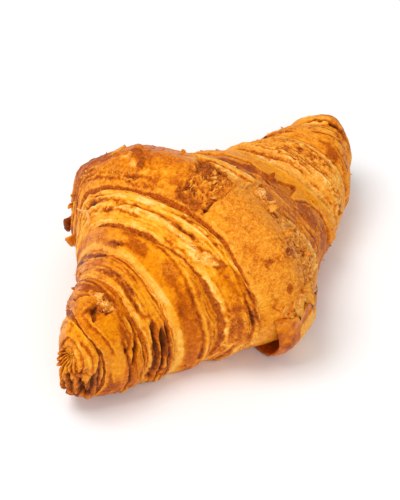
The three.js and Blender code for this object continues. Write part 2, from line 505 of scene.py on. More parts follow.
@dataclass
class Turn:
    """The crust of one turn of the roll, from under the lip that covers it to its own lip.

    inner is the lip that lies over it, or for the middle turn the one at its far side, and own is its
    own lip, in place of which an open_end has leaves. tuck is how far the crust runs on under the
    covering lip, and swell how far it stands out midway. Its points lie row_gap apart along the roll,
    and column_gap apart around it within the shown angles or else hidden_gap. From the under angles on
    it has the underside's even shade. A lip's face has face_rows rows of points and shows dough layers
    that are leaf_gap thick, and face_dry is how dry it is.
    """

    name: str
    inner: Lip
    own: Lip
    facing: Facing
    look: TurnLook
    seed: int
    open_end: bool = False
    middle: bool = False
    tuck: float = 3.0
    row_gap: float = 0.23
    column_gap: float = 0.42
    hidden_gap: float = 1.0
    shown: tuple[float, float] = (-112, 138)
    under: tuple[float, float] = (128, 150)
    swell: float = 0.9
    face_rows: int = 16
    leaf_gap: float = 0.55
    face_dry: float = 0.55
    form: Spindle = field(default_factory=Spindle)

    def lay_out(self) -> None:
        """Sets out the grid: how far along the turn and how far around each point is."""
        middle_x = (self.inner.x + self.own.x) / 2
        self.radius = self.form.radius(middle_x)
        self.width = abs(self.own.x - self.inner.x)
        fine = np.radians(np.linspace(-180, 180, 4 * 360 + 1))
        section = self.form.point(np.full(fine.shape, middle_x), fine, np.zeros(fine.shape))
        steps = np.linalg.norm(np.diff(section, axis=0), axis=1)
        low, high = np.radians(self.shown)
        gap = np.where((fine > low) & (fine < high), self.column_gap, self.hidden_gap)[1:]
        count = np.concatenate([[0], np.cumsum(steps / gap)])
        columns = int(count[-1])
        places = (np.arange(columns) + 0.5) * count[-1] / columns
        self.around = np.interp(places, count, fine)[None]
        self.fine_angle = np.degrees(fine)
        self.fine_arc = np.concatenate([[0], np.cumsum(steps)])
        self.arc = np.interp(np.degrees(self.around), self.fine_angle, self.fine_arc)
        rows = max(int(self.width * 1.15 / self.row_gap), 12)
        body = np.linspace(0, 1, rows)
        tuck = -np.linspace(self.tuck, 0, 9)[:-1] / self.width
        self.share = (body if self.middle else np.concatenate([tuck, body]))[:, None]
        self.inner_x = self.inner.at(self.around, self.radius)
        self.own_x = self.own.at(self.around, self.radius)
        self.x = self.inner_x + (self.own_x - self.inner_x) * self.share
        self.along = self.share * self.width
        self.ring_y = self.radius * np.sin(self.around)
        self.ring_z = self.radius * np.cos(self.around)
        self.degrees = np.degrees(self.around)
        shape = self.x.shape
        self.angle = np.broadcast_to(self.around, shape)
        self.height = np.zeros(shape)
        self.bake = np.full(shape, self.look.bake)
        self.dry = np.full(shape, self.look.dry)

    def own_noise(self, salt: int) -> Noise:
        """Returns one of the turn's own random fields."""
        return Noise(self.seed * 101 + salt)

    def noise(
        self, size: float, salt: int, stretch: float = 1.0, octaves: int = 3, columns: slice = slice(None)
    ) -> np.ndarray:
        """Draws random values over the grid.

        Args:
            size: The size of the spots along the roll.
            salt: Chooses one of many fields.
            stretch: How much longer the spots are around the roll.
            octaves: How many layers of noise are added.
            columns: The part of the grid.

        Returns:
            The values.
        """
        y, z = self.ring_y[:, columns] / (size * stretch), self.ring_z[:, columns] / (size * stretch)
        return self.own_noise(salt).rough(self.along / size, y, z, octaves=octaves)

    def raise_form(self) -> None:
        """Gives the turn its drop under the covering lip, its swell and the dough's unevenness."""
        share = np.clip(self.share, 0, 1)
        if not self.middle:
            self.height -= self.inner.step * (1 - eased(share, 0, self.inner.rise))
            self.height -= 0.35 * eased(-self.along, 0, self.tuck)
        self.height += self.swell * np.sin(math.pi * share)
        self.height += self.form.unevenness(self.x, self.angle)
        self.height += 0.28 * self.noise(9, 1, octaves=2)

    def arc_mask(self, arc: tuple[float, float], soft: float) -> np.ndarray:
        """Makes a mask of a stretch of angles.

        Args:
            arc: Its start and end, in degrees.
            soft: How far each end fades, in degrees.

        Returns:
            1 inside and 0 outside, over the grid.
        """
        if arc[1] - arc[0] >= 360:
            return np.ones(self.height.shape)
        blur = self.degrees + 8 * self.noise(6, 3, octaves=2)
        return eased(blur, arc[0] - soft, arc[0] + soft) * (1 - eased(blur, arc[1] - soft, arc[1] + soft))

    def add_layers(self, layers: Layers, salt: int) -> None:
        """Cuts the ridges of a stack of layers.

        Args:
            layers: The stack.
            salt: Chooses its random fields.
        """
        low, high = layers.span
        blur = self.share + 0.06 * self.noise(6, salt + 2, octaves=2)
        mask = eased(blur, low - 0.05, low + 0.05) * (1 - eased(blur, high - 0.05, high + 0.05))
        mask = mask * self.arc_mask(layers.arc, layers.soft_arc)
        stray = layers.wander * self.noise(5, salt + 1, stretch=3, octaves=3)
        squeeze = 0.22 * self.noise(3.1, salt + 3, stretch=9, octaves=2)
        phase = (self.along + stray) / layers.spacing + squeeze + 0.35 * salt
        order = np.floor(phase)
        part = phase - order
        strength = self.own_noise(salt).rough(order * 5.37, self.ring_y / 8, self.ring_z / 8, octaves=2)
        strength = np.clip(0.5 + 0.95 * strength, 0.0, 1.35)
        # Each ridge climbs slowly to its torn edge and then drops
        tooth = np.where(part < 0.78, part / 0.78, (1 - part) / 0.22)
        depth = mask * strength
        self.height += layers.depth * depth * (tooth - 0.72)
        # The hollows between the ridges are darkened as painted shade
        self.bake += layers.groove_shade * depth * (1 - tooth) ** 2
        self.bake -= layers.crest * depth * eased(tooth, 0.45, 1)
        self.dry += 0.12 * depth * eased(tooth, 0.6, 1)

    def place(self, x: float, around: float) -> np.ndarray:
        """Unrolls a place.

        Args:
            x: Its place along the roll.
            around: Its angle in degrees.

        Returns:
            x, and millimetres around the roll.
        """
        return np.array([x, float(np.interp(around, self.fine_angle, self.fine_arc))])

    def near(self, places: np.ndarray, margin: float) -> tuple[slice, np.ndarray]:
        """Finds the part of the grid close to some points.

        Args:
            places: Points of the unrolled crust.
            margin: How close.

        Returns:
            The columns, as a slice, and the unrolled place of each of their grid points.
        """
        arc = self.arc[0]
        low, high = places[:, 1].min() - margin, places[:, 1].max() + margin
        columns = slice(int(np.searchsorted(arc, low)), int(np.searchsorted(arc, high)))
        x = self.x[:, columns]
        return columns, np.stack([x, np.broadcast_to(self.arc[:, columns], x.shape)], -1)

    def shade(self, columns: slice, mask: np.ndarray, bake: float | None, dry: float | None) -> None:
        """Mixes a shade into the crust.

        Args:
            columns: The part of the grid.
            mask: How much of it each of its points takes.
            bake: How far the place is baked, with painted light and shade where a mark paints it, or None to
                leave that.
            dry: How dry it is, or None to leave that.
        """
        if bake is not None:
            self.bake[:, columns] += mask * (bake - self.bake[:, columns]) * 0.85
        if dry is not None:
            self.dry[:, columns] += mask * (dry - self.dry[:, columns])

    def roughen(self, columns: slice, mask: np.ndarray, mark: Patch | Area, size: float, salt: int) -> None:
        """Lifts and roughens the crust.

        Args:
            columns: The part of the grid.
            mask: How much of it each of its points takes.
            mark: The patch or area, which says how much.
            size: The size of its crumbs.
            salt: Chooses its random fields.
        """
        self.height[:, columns] += mask * mark.lift
        if mark.crumb:
            fold = 0.4 - 1.5 * np.abs(self.noise(1.6 * size, salt + 1, columns=columns))
            crumb = 0.6 * fold + 0.7 * self.noise(size, salt, columns=columns)
            self.height[:, columns] += mask * mark.crumb * crumb
            # Crumb hollows are painted darker and their tops paler, a shade that follows the relief
            self.bake[:, columns] -= mask * 0.38 * crumb

    def add_patch(self, patch: Patch, salt: int) -> None:
        """Marks one place of the crust.

        Args:
            patch: The mark.
            salt: Chooses its random fields.
        """
        centre = self.place(patch.x, patch.around)
        columns, grid = self.near(centre[None], 1.6 * max(patch.along, patch.across) + 2)
        along, across = grid[..., 0] - centre[0], grid[..., 1] - centre[1]
        c, s = math.cos(math.radians(patch.turn)), math.sin(math.radians(patch.turn))
        u = (along * c + across * s) / patch.along
        v = (across * c - along * s) / patch.across
        far = (np.hypot(u, v) - 1) * min(patch.along, patch.across)
        far = far + patch.ragged * self.noise(1.6, salt, columns=columns)
        mask = patch.weight * (1 - eased(far, -patch.soft, patch.soft))
        self.shade(columns, mask, patch.bake, patch.dry)
        self.roughen(columns, mask, patch, 1.1, salt + 1)

    def add_area(self, area: Area, salt: int) -> None:
        """Marks a torn area with corners.

        Args:
            area: The area.
            salt: Chooses its random fields.
        """
        corners = np.array([self.place(*corner) for corner in area.corners])
        columns, grid = self.near(corners, 3)
        far = np.full(grid.shape[:-1], 1e9)
        inside = np.zeros(grid.shape[:-1], bool)
        for a, b in zip(corners, np.roll(corners, -1, 0)):
            far = np.minimum(far, self.from_line(grid, a, b)[0])
            crosses = (a[1] > grid[..., 1]) != (b[1] > grid[..., 1])
            with np.errstate(divide="ignore", invalid="ignore"):
                where = a[0] + (grid[..., 1] - a[1]) * (b[0] - a[0]) / (b[1] - a[1])
            inside ^= crosses & (grid[..., 0] < where)
        far = np.where(inside, -far, far) + area.ragged * self.noise(1.5, salt, columns=columns)
        mask = 1 - eased(far, -area.soft, area.soft)
        self.shade(columns, mask, area.bake, area.dry)
        self.roughen(columns, mask, area, area.crumb_size, salt + 1)

    @staticmethod
    def from_line(
        grid: np.ndarray, a: np.ndarray, b: np.ndarray
    ) -> tuple[np.ndarray, np.ndarray, np.ndarray]:
        """Measures from a line.

        Args:
            grid: Unrolled points.
            a: The line's start.
            b: Its end.

        Returns:
            The distance of each point, its share of the way along, and which side it is on.
        """
        way = b - a
        offset = grid - a
        share = np.clip(offset @ way / max(way @ way, 1e-9), 0, 1)
        rest = offset - share[..., None] * way
        side = np.sign(way[0] * offset[..., 1] - way[1] * offset[..., 0])
        return np.hypot(rest[..., 0], rest[..., 1]), share, side

    def add_stroke(self, stroke: Stroke, salt: int) -> None:
        """Draws a ridge, a crease or the edge of a sheet.

        Args:
            stroke: The line.
            salt: Chooses how it strays.
        """
        points = np.array([self.place(*point) for point in stroke.points])
        columns, grid = self.near(points, max(3 * stroke.width, stroke.run if stroke.cover else 0) + 1)
        stray = stroke.ragged * self.noise(1.2, salt, columns=columns)
        grid = grid + np.stack([stray, 0 * stray], -1)
        lengths = np.linalg.norm(np.diff(points, axis=0), axis=1)
        starts = np.concatenate([[0], np.cumsum(lengths)])
        far = np.full(grid.shape[:-1], 1e9)
        travelled = np.zeros(grid.shape[:-1])
        side = np.zeros(grid.shape[:-1])
        for i, (a, b) in enumerate(zip(points[:-1], points[1:])):
            distance, share, hand = self.from_line(grid, a, b)
            closer = distance < far
            far = np.where(closer, distance, far)
            travelled = np.where(closer, starts[i] + share * lengths[i], travelled)
            side = np.where(closer, hand, side)
        fade = min(3.0, starts[-1] / 3)
        taper = eased(travelled, -0.01, fade) * (1 - eased(travelled, starts[-1] - fade, starts[-1] + 0.01))
        past = far * side * stroke.cover
        if stroke.cover:
            mask = (1 - eased(past, -0.2, 0.2)) * np.exp(-far / stroke.run) * taper
        else:
            mask = taper * np.exp(-((far / stroke.width) ** 2))
        self.height[:, columns] += stroke.height * mask
        # Along a crease the added bake is a painted shade, and along a raised ridge a lightening is partly a
        # painted highlight
        self.bake[:, columns] += stroke.bake * mask
        self.dry[:, columns] += stroke.dry * mask
        # A sheet's edge gets a painted shadow beside it and a lighter rim, partly a painted highlight
        if stroke.cover:
            self.bake[:, columns] += stroke.shadow * taper * np.exp(-(((past - 0.4) / 0.45) ** 2))
            self.bake[:, columns] -= stroke.rim * taper * np.exp(-(((past + 0.3) / 0.35) ** 2))

    def scatter_sheets(self) -> None:
        """Adds short torn edges of thin sheets, which lie like shingles along the turn's own lip."""
        # Each torn edge has a painted shadow beside it and a lighter rim, partly a painted highlight
        random = np.random.RandomState(self.seed + 500)
        for order in range(self.look.sheets):
            start, reach = random.uniform(-115, 120), random.uniform(5, 26)
            share = random.uniform(0.08, 0.96)
            length = np.degrees(reach / self.radius)
            angles = np.linspace(start, start + length, 5)
            drift = random.uniform(-0.7, 0.7) + np.cumsum(random.uniform(-0.4, 0.4, 5))
            between = self.inner_x + (self.own_x - self.inner_x) * share
            middle = np.interp(angles, self.degrees[0], between[0])
            points = tuple((float(x), float(angle)) for x, angle in zip(middle + drift, angles))
            self.add_stroke(Stroke(
                points,
                cover=-self.facing.value,
                height=random.uniform(0.15, 0.45),
                run=random.uniform(0.8, 2.5),
                ragged=random.uniform(0.2, 0.6),
                shadow=random.uniform(0.15, 0.45),
                rim=random.uniform(0.05, 0.2),
                dry=0.1,
            ), 200 + order)

    def mark(self) -> None:
        """Shades the crust and adds all its layers, areas, strokes and patches."""
        look = self.look
        self.bake += look.blotch * self.noise(4.5, 11, stretch=1.6)
        self.bake += 0.6 * look.blotch * self.noise(1.4, 12, stretch=1.5)
        # Pits and folds are painted darker in their hollows and paler on top, a shade that follows the
        # relief
        pits = self.noise(look.pit_size, 13, octaves=3)
        self.height += look.pits * pits
        self.bake -= 0.5 * look.pits * pits
        fold = 1 - 2 * np.abs(self.noise(look.wrinkle_size, 14, stretch=4.5, octaves=3))
        patchy = eased(self.noise(12, 15, octaves=1), -0.6, 0.6)
        self.height += look.wrinkle * patchy * (fold - 0.4)
        self.bake -= 0.28 * look.wrinkle * patchy * (fold - 0.4)
        self.scatter_sheets()
        for order, layers in enumerate(look.layers):
            self.add_layers(layers, 20 + 5 * order)
        # What noise has shaded darkest is held back, so that the darkest places are those marked one by one
        self.bake -= 0.5 * np.maximum(self.bake - 0.62, 0)
        for order, area in enumerate(look.areas):
            self.add_area(area, 50 + 3 * order)
        for order, stroke in enumerate(look.strokes):
            self.add_stroke(stroke, 80 + 2 * order)
        for order, patch in enumerate(look.patches):
            self.add_patch(patch, 140 + 3 * order)
        from_own = (1 - self.share) * self.width
        # The lips' crests are lightened, partly for their pale layer edges and partly as a painted highlight
        if not self.open_end:
            self.bake += self.own.edge * np.exp(-((from_own / 0.9) ** 2))
            self.dry += 0.2 * np.exp(-((from_own / 0.7) ** 2))
        if self.middle:
            self.bake += self.inner.edge * np.exp(-((self.along / 0.9) ** 2))
        else:
            # Near the covering lip the crust takes that lip's face shade: partly browner dough and partly
            # painted shade under the lip
            shade = np.exp(-((np.clip(self.along - 0.2, 0, None) / self.inner.foot) ** 2))
            self.bake += shade * (self.inner.face - self.bake) * 0.85
        # The underside browns evenly on its tray
        under = eased(np.abs(self.degrees), *self.under)
        self.bake += under * (0.6 - self.bake) * 0.8
        self.dry += under * (0.7 - self.dry)

    def lip_rings(self, lip: Lip, x: np.ndarray, way: int, height: np.ndarray, bake: np.ndarray) -> dict:
        """Makes the rings of a lip's face, from its crest down to under the next turn.

        Args:
            lip: The lip.
            x: Its edge around the roll.
            way: 1 if the lip faces the far tip and -1 if it faces the near one.
            height: The crust's height at the edge.
            bake: The crust's shade at the edge.

        Returns:
            The rings' x, height, bake and dry.
        """
        share = (np.arange(1, self.face_rows + 1) / self.face_rows)[:, None]
        down = share**1.4
        y, z = self.ring_y, self.ring_z
        noise = self.own_noise(7)
        depth = 0.1 + down * lip.step
        phase = (depth + 0.35 * noise.rough(y / 7, z / 7, np.ones(1) * 3.3)) / self.leaf_gap
        part = phase - np.floor(phase)
        # Thin layers stand out of the face like the pages of a book, and the gaps between them are painted
        # dark as shade
        leaf = np.where(part < 0.7, part / 0.7, (1 - part) / 0.3)
        strength = np.clip(0.5 + 0.9 * noise.at(np.floor(phase) * 3.7, y / 6, z / 6), 0.1, 1.1)
        bite = 0.25 * strength * (1 - leaf) * eased(share, 0.08, 0.25) * (1 - eased(share, 0.7, 0.95))
        slope = lip.slope + lip.widen * eased(self.degrees, 35, 75)
        out = 0.4 * np.sin(np.minimum(share / 0.22, 1) * math.pi / 2) + slope * share - bite
        blur = share + 0.1 * noise.at(y / 4, z / 4, np.ones(1) * 8.5)
        laminated = 1 - eased(blur, lip.pale - 0.1, lip.pale + 0.1)
        shade = lip.face + (0.22 - lip.face) * laminated + 0.4 * strength * (1 - leaf) ** 2 * laminated
        shade = bake + (shade - bake) * eased(share, 0, 0.15)
        # Two last rings fold the face in under the next turn
        under_out = slope + np.array([[0.5], [-1.0]])
        under_depth = lip.step + np.array([[0.6], [1.3]])
        folded = (2, out.shape[1])
        depths = [np.broadcast_to(depth, out.shape), np.broadcast_to(under_depth, folded)]
        return {
            "x": x + way * np.concatenate([out, np.broadcast_to(under_out, folded)]),
            "height": height - np.concatenate(depths),
            "bake": np.concatenate([shade, shade[-1:], shade[-1:]]),
            "dry": np.full((self.face_rows + 2, out.shape[1]), self.face_dry),
        }

    def cap(self, ring: np.ndarray) -> np.ndarray:
        """Returns two smaller rings inside a ring, which close an end of the skin."""
        middle = ring.mean(0)
        return np.stack([middle + (ring - middle) * size for size in (0.8, 0.45)])

    def open_rings(self) -> dict:
        """Makes the leafy end of a tip, as rings. A turn with a lip has none."""
        raise NotImplementedError

    def build(self) -> bpy.types.Object:
        """Makes the piece.

        Returns:
            The piece, with its shades and grain stored for the material.
        """
        self.lay_out()
        self.raise_form()
        self.mark()
        way = self.facing.value
        parts = [{"x": self.x, "height": self.height, "bake": self.bake, "dry": self.dry}]
        if self.middle:
            far_lip = self.lip_rings(self.inner, self.inner_x, -way, self.height[0], self.bake[0])
            parts.insert(0, {key: values[::-1] for key, values in far_lip.items()})
        if self.open_end:
            parts.append(self.open_rings())
        else:
            parts.append(self.lip_rings(self.own, self.own_x, way, self.height[-1], self.bake[-1]))
        x, height, bake, dry = (
            np.concatenate([np.broadcast_to(part[key], part["x"].shape) for part in parts])
            for key in ("x", "height", "bake", "dry")
        )
        rings = self.form.point(x, np.broadcast_to(self.around, x.shape), height)
        rings = self.settle(rings, bake)
        self.skin = rings
        self.skin_x = x
        first, last = self.cap(rings[0])[::-1], self.cap(rings[-1])
        rings = np.concatenate([first, rings, last])
        stored = {
            "bake": bake,
            "dry": dry,
            "grain": np.full(x.shape, self.look.grain),
            "grain_x": x + 0.02 * height,
            "grain_y": np.broadcast_to(self.arc / self.look.grain_stretch, x.shape),
        }
        shades = {
            key: np.concatenate([values[:1], values[:1], values, values[-1:], values[-1:]])
            for key, values in stored.items()
        }
        return Tube(rings).build(self.name, shades)

    def settle(self, rings: np.ndarray, bake: np.ndarray) -> np.ndarray:
        """Returns the rings as they are. A tip shapes its end here, and shades it in bake."""
        return rings

    def shade_at(self, x: float, around: float) -> tuple[float, float]:
        """Reads the crust's shades.

        Args:
            x: The place along the roll.
            around: Its angle in degrees.

        Returns:
            The bake and dry shades there.
        """
        column = int(np.argmin(np.abs(self.degrees[0] - around)))
        row = int(np.argmin(np.abs(self.x[:, column] - x)))
        return float(self.bake[row, column]), float(self.dry[row, column])

    def spot(self, x: float, around: float) -> tuple[np.ndarray, np.ndarray]:
        """Finds a place on the finished crust.

        Args:
            x: Its place along the roll.
            around: Its angle in degrees.

        Returns:
            The point, and the three directions towards the near tip, around the roll and outwards, as rows.
        """
        column = int(np.argmin(np.abs(self.degrees[0] - around)))
        row = int(np.argmin(np.abs(self.skin_x[:, column] - x)))
        row = min(max(row, 3), len(self.skin) - 4)
        last = self.skin.shape[1] - 1
        beyond = self.skin[row, min(column + 3, last)] - self.skin[row, max(column - 3, 0)]
        round_way = beyond / np.linalg.norm(beyond)
        out = np.cross((-1.0, 0.0, 0.0), round_way)
        out /= np.linalg.norm(out)
        return self.skin[row, column], np.stack([np.cross(round_way, out), round_way, out])


@dataclass
class Tip(Turn):
    """The last turn at an end of the roll, which ends in a fan of thin leaves.

    The fan opens about a middle at fan_y and fan_z, on from the angle fan_right, in radians from
    straight down. leaves is how many there are for each radian, leaf_depth how deep the gaps between
    them are, and leaf_reach how far those run along the roll. The end's face has rings, with their
    count in ridges, and stands out by bulge below the fan's middle and by crown above it.
    """

    leaves: float = 4.6
    fan_y: float = -2.5
    fan_z: float = 29.5
    fan_right: float = -0.5
    leaf_depth: float = 1.4
    leaf_reach: float = 4.0
    ridges: float = 3.6
    ridge_depth: float = 1.0
    end_rows: int = 40
    bulge: float = 4.6
    crown: float = 1.2

    def open_rings(self) -> dict:
        """Makes the rings of the end, from its rim to near its middle.

        Returns:
            The rings' x, height, bake and dry.
        """
        self.end_shares = np.linspace(0, 1, self.end_rows + 1)[1:, None]
        shape = (self.end_rows, self.around.shape[-1])
        return {
            "x": np.broadcast_to(self.own_x, shape),
            "height": np.broadcast_to(self.height[-1], shape),
            "bake": np.broadcast_to(self.bake[-1], shape).copy(),
            "dry": np.broadcast_to(self.dry[-1] + 0.2, shape).copy(),
        }

    def settle(self, rings: np.ndarray, bake: np.ndarray) -> np.ndarray:
        """Draws the end's rings in to its middle and cuts the gaps between its leaves.

        Args:
            rings: All the piece's rings, the end's last.
            bake: Their shades, which are changed in place.

        Returns:
            The rings.
        """
        way = self.facing.value
        # The end's rings shrink to its middle and dome out
        end = rings[-self.end_rows:]
        rim = end[0].copy()
        middle = rim.mean(0)
        size = 1 - 0.93 * self.end_shares[..., None]
        end[...] = middle + (rim - middle) * size
        dome = np.sqrt(np.clip(1 - size[..., 0] ** 2, 0, 1))
        low = eased(self.fan_z - end[..., 2], -2, 8)
        end[..., 0] += way * (self.crown + (self.bulge - self.crown) * low) * dome
        # The rolled layers show as ridges round the middle, with painted shade in the notches between them
        wobble = Noise(self.seed + 50).rough(end[..., 1] / 4, end[..., 2] / 4, np.ones(1))
        turned = self.end_shares * self.ridges + 0.3 * wobble
        notch = (1 - np.abs(2 * (turned - np.floor(turned)) - 1)) ** 2 * (1 - self.end_shares)
        end[..., 0] -= way * self.ridge_depth * notch
        bake[-self.end_rows:] += 0.4 * notch
        # Gaps run in from the rim between the fan's leaves, darkened as painted shade
        angle = np.arctan2(rings[..., 1] - self.fan_y, self.fan_z - rings[..., 2])
        stray = Noise(self.seed).rough(rings[..., 1] / 5, rings[..., 2] / 5, rings[..., 0] / 5)
        phase = angle * self.leaves + 0.5 * stray
        part = phase - np.floor(phase)
        gap = eased(np.abs(part - 0.5) * 2, 0.25, 1.0)
        reach = 1 - eased((rim[:, 0] - rings[..., 0]) * way, 0, self.leaf_reach)
        low = eased(self.fan_z - rings[..., 2], -1, 3)
        low = low * eased(angle, self.fan_right - 0.25, self.fan_right + 0.25)
        cut = self.leaf_depth * gap * reach * low
        inward = middle - rings
        inward /= np.linalg.norm(inward, axis=-1, keepdims=True)
        rings += (0.7 * cut)[..., None] * inward
        rings[..., 0] -= way * cut * eased(reach, 0.9, 1)
        bake += (0.4 * gap - 0.05) * reach * low
        return rings


@dataclass(frozen=True)
class Flake:
    """A torn flake that stands off the crust.

    turn is the angle from the near tip's direction towards the right side that it points in, and lift the
    angle that it stands up at. curl bends it on, in degrees, and it thins from its root, where it has its
    full thickness.
    """

    x: float
    around: float
    length: float
    width: float
    lift: float
    turn: float
    bake: float = 0.3
    dry: float = 0.6
    curl: float = 25
    thickness: float = 0.4


@dataclass(frozen=True)
class Shreds:
    """Small curled flakes in a torn place.

    The place reaches spread_x and spread_around to each side of its middle. size is the flakes' mean length,
    and bake and dry are their shades.
    """

    x: float
    around: float
    spread_x: float
    spread_around: float
    count: int
    size: float = 1.6
    bake: float = 0.25
    dry: float = 0.85

    def shred(self, random: np.random.RandomState) -> Flake:
        """Draws one of the flakes.

        Args:
            random: Where its place and sizes are drawn from.

        Returns:
            The flake.
        """
        x = self.x + self.spread_x * random.uniform(-1, 1)
        around = self.around + self.spread_around * random.uniform(-1, 1)
        size = self.size * random.uniform(0.5, 1.5)
        return Flake(
            x,
            around,
            length=size,
            width=size * random.uniform(0.3, 0.7),
            lift=random.uniform(5, 45),
            turn=random.uniform(0, 360),
            bake=self.bake + random.uniform(-0.15, 0.2),
            dry=self.dry,
            curl=random.uniform(10, 80),
            thickness=0.25,
        )


@dataclass
class FlakeField:
    """Torn flakes listed one by one, shreds in torn places and small chips over the crust, in one piece.

    chips is the count of the chips, and seed fixes where they and the shreds fall. The steps are the faces
    along and across each kind of flake, and sunk is how deep their roots lie under the crust.
    """

    flakes: tuple[Flake, ...] = (
        Flake(-20.5, -86, 6.5, 5, 8, -88, bake=0.86, dry=0.2, curl=-6, thickness=1.2),
        Flake(-24, -91, 5.5, 6, 5, -85, bake=0.42, dry=0.3, curl=-8, thickness=0.8),
        Flake(-15.5, -75, 2.5, 5, 8, -90, bake=0.3, dry=0.3, curl=5),
        Flake(-19, -78, 2.5, 4, 9, -90, bake=0.4, dry=0.3, curl=5),
        Flake(-6, -38, 11, 3.4, 2, -94, bake=0.34, dry=0.2, curl=3, thickness=0.8),
        Flake(3.1, -13, 1.6, 2, 35, -100, bake=0.4, dry=0.2),
        Flake(-10.5, 15.5, 4, 1.4, 40, 30, bake=0.14, dry=0.8),
        Flake(-6, 10, 3, 2, 30, 100, bake=0.2, dry=0.8),
        Flake(-26.4, -55, 4.5, 1.4, 24, 0, bake=0.08, dry=0.9),
        Flake(-29, -57, 6, 1.6, 16, 82, bake=0.1, dry=0.9),
        Flake(-16.9, -82, 3, 4, 8, -70, bake=0.35, dry=0.4, curl=0),
        Flake(7, 27, 3, 2.5, 10, 110, bake=0.28, dry=0.7),
        Flake(10.5, 30, 3, 2.5, 12, 60, bake=0.3, dry=0.7),
        Flake(3, 35, 3, 2.2, 16, 150, bake=0.3, dry=0.8),
        Flake(-1, 49, 3.5, 2.5, 20, 170, bake=0.35, dry=0.8),
        Flake(-13, 80, 6, 6, 4, 95, bake=0.3, dry=0.7, curl=12),
        Flake(-9, 80, 7, 6, 6, 80, bake=0.24, dry=0.8, curl=10),
        Flake(-4, 78, 7, 6, 8, 100, bake=0.34, dry=0.75, curl=14),
    )
    shreds: tuple[Shreds, ...] = (
        Shreds(-8, 10, 6.5, 7, 60, bake=0.32, dry=0.7),
        Shreds(8, 30, 4, 8, 30, size=1.9, bake=0.2),
        Shreds(6, 60, 6, 14, 20, size=1.5, bake=0.3),
        Shreds(-55.5, 6, 1.5, 12, 26, size=1.1, bake=0.2),
        Shreds(-3, 84, 10, 5, 24, size=2.2, bake=0.25),
        Shreds(-26, 30, 2, 16, 16, size=1.2, bake=0.12),
        Shreds(-16.3, -45, 1.0, 28, 40, size=1.2, bake=0.35),
    )
    chips: int = 420
    seed: int = 77
    flake_steps: tuple[int, int] = (7, 5)
    chip_steps: tuple[int, int] = (2, 2)
    shred_steps: tuple[int, int] = (4, 2)
    sunk: float = 0.35

    def plate(
        self, flake: Flake, place: np.ndarray, ways: np.ndarray, steps: tuple[int, int], seed: int
    ) -> tuple[np.ndarray, np.ndarray]:
        """Makes one flake.

        Args:
            flake: Its sizes.
            place: Its root on the crust.
            ways: The directions towards the near tip, around the roll and outwards.
            steps: Its faces along and across.
            seed: Chooses its ragged outline.

        Returns:
            Its points and quads.
        """
        random = np.random.RandomState(seed)
        turn = math.radians(flake.turn)
        ahead = ways[0] * math.cos(turn) + ways[1] * math.sin(turn)
        beside = np.cross(ways[2], ahead)
        along = np.linspace(0, 1, steps[0] + 1)[:, None]
        across = np.linspace(-1, 1, steps[1] + 1)[None]
        bend = np.radians(flake.lift + flake.curl * along)
        half = flake.width / 2 * (1 - along**1.8) ** 0.7 * (1 + 0.25 * random.uniform(-1, 1, along.shape))
        half = half + 0.05 * flake.width
        reach = flake.length * along * (1 + 0.15 * random.uniform(-1, 1, across.shape))
        cup = 0.12 * flake.width * across**2
        middle = (
            place
            + ahead * (reach * np.cos(bend))[..., None]
            + beside * (half * across)[..., None]
            + ways[2] * (reach * np.sin(bend) + cup - self.sunk)[..., None]
        )
        normal = np.cos(bend)[..., None] * ways[2] - np.sin(bend)[..., None] * ahead
        thick = flake.thickness * (1 - 0.6 * along)[..., None] / 2
        faces = (middle + normal * thick, middle - normal * thick)
        points = np.concatenate([face.reshape(-1, 3) for face in faces])
        rows, columns = steps[0] + 1, steps[1] + 1
        i, j = np.meshgrid(np.arange(steps[0]), np.arange(steps[1]), indexing="ij")
        a = (i * columns + j).ravel()
        # The top, the bottom below it and a wall along their shared rim
        top = np.stack([a, a + columns, a + columns + 1, a + 1], -1)
        bottom = top[:, ::-1] + rows * columns
        rim = np.concatenate([
            np.arange(columns),
            np.arange(1, rows) * columns + columns - 1,
            (rows - 1) * columns + np.arange(columns - 2, -1, -1),
            np.arange(rows - 2, 0, -1) * columns,
        ])
        following = np.roll(rim, -1)
        wall = np.stack([rim, following, following + rows * columns, rim + rows * columns], -1)
        return points, outward(points, np.concatenate([top, bottom, wall]))

    def build(self, turns: list[Turn], material: bpy.types.Material) -> bpy.types.Object:
        """Makes the piece.

        Args:
            turns: The finished turns that the flakes stand on.
            material: Their material.

        Returns:
            The piece.
        """
        random = np.random.RandomState(self.seed)
        plates = []
        for order, flake in enumerate(self.flakes):
            plates.append(self.stand(flake, turns, self.flake_steps, order))
        for order in range(self.chips):
            plates.append(self.stand(self.chip(turns, random), turns, self.chip_steps, 100 + order))
        for place in self.shreds:
            for _ in range(place.count):
                plates.append(self.stand(place.shred(random), turns, self.shred_steps, 600 + len(plates)))
        starts = np.cumsum([0] + [len(points) for _, points, _ in plates])
        points = np.concatenate([points for _, points, _ in plates])
        quads = np.concatenate([quads + start for (_, _, quads), start in zip(plates, starts)])
        piece = make_mesh("torn_flakes", points, quads, np.zeros((0, 3), int))
        for key in ("bake", "dry"):
            shades = [np.full(len(own), getattr(flake, key)) for flake, own, _ in plates]
            paint(piece, key, np.concatenate(shades))
        piece.data.materials.append(material)
        return piece

    def chip(self, turns: list[Turn], random: np.random.RandomState) -> Flake:
        """Draws a small chip, in about the shade of the crust that it stands on.

        Args:
            turns: The finished turns.
            random: Where its place and sizes are drawn from.

        Returns:
            The chip.
        """
        x, around = random.uniform(-62, 66), random.uniform(-100, 125)
        size = random.uniform(0.5, 1.6)
        bake, dry = self.under(turns, x, around).shade_at(x, around)
        return Flake(
            x,
            around,
            length=size,
            width=size * random.uniform(0.5, 1.1),
            lift=random.uniform(4, 26),
            turn=random.uniform(0, 360),
            bake=bake + random.uniform(-0.12, 0.1),
            dry=dry + random.uniform(0, 0.3),
            thickness=0.2,
        )

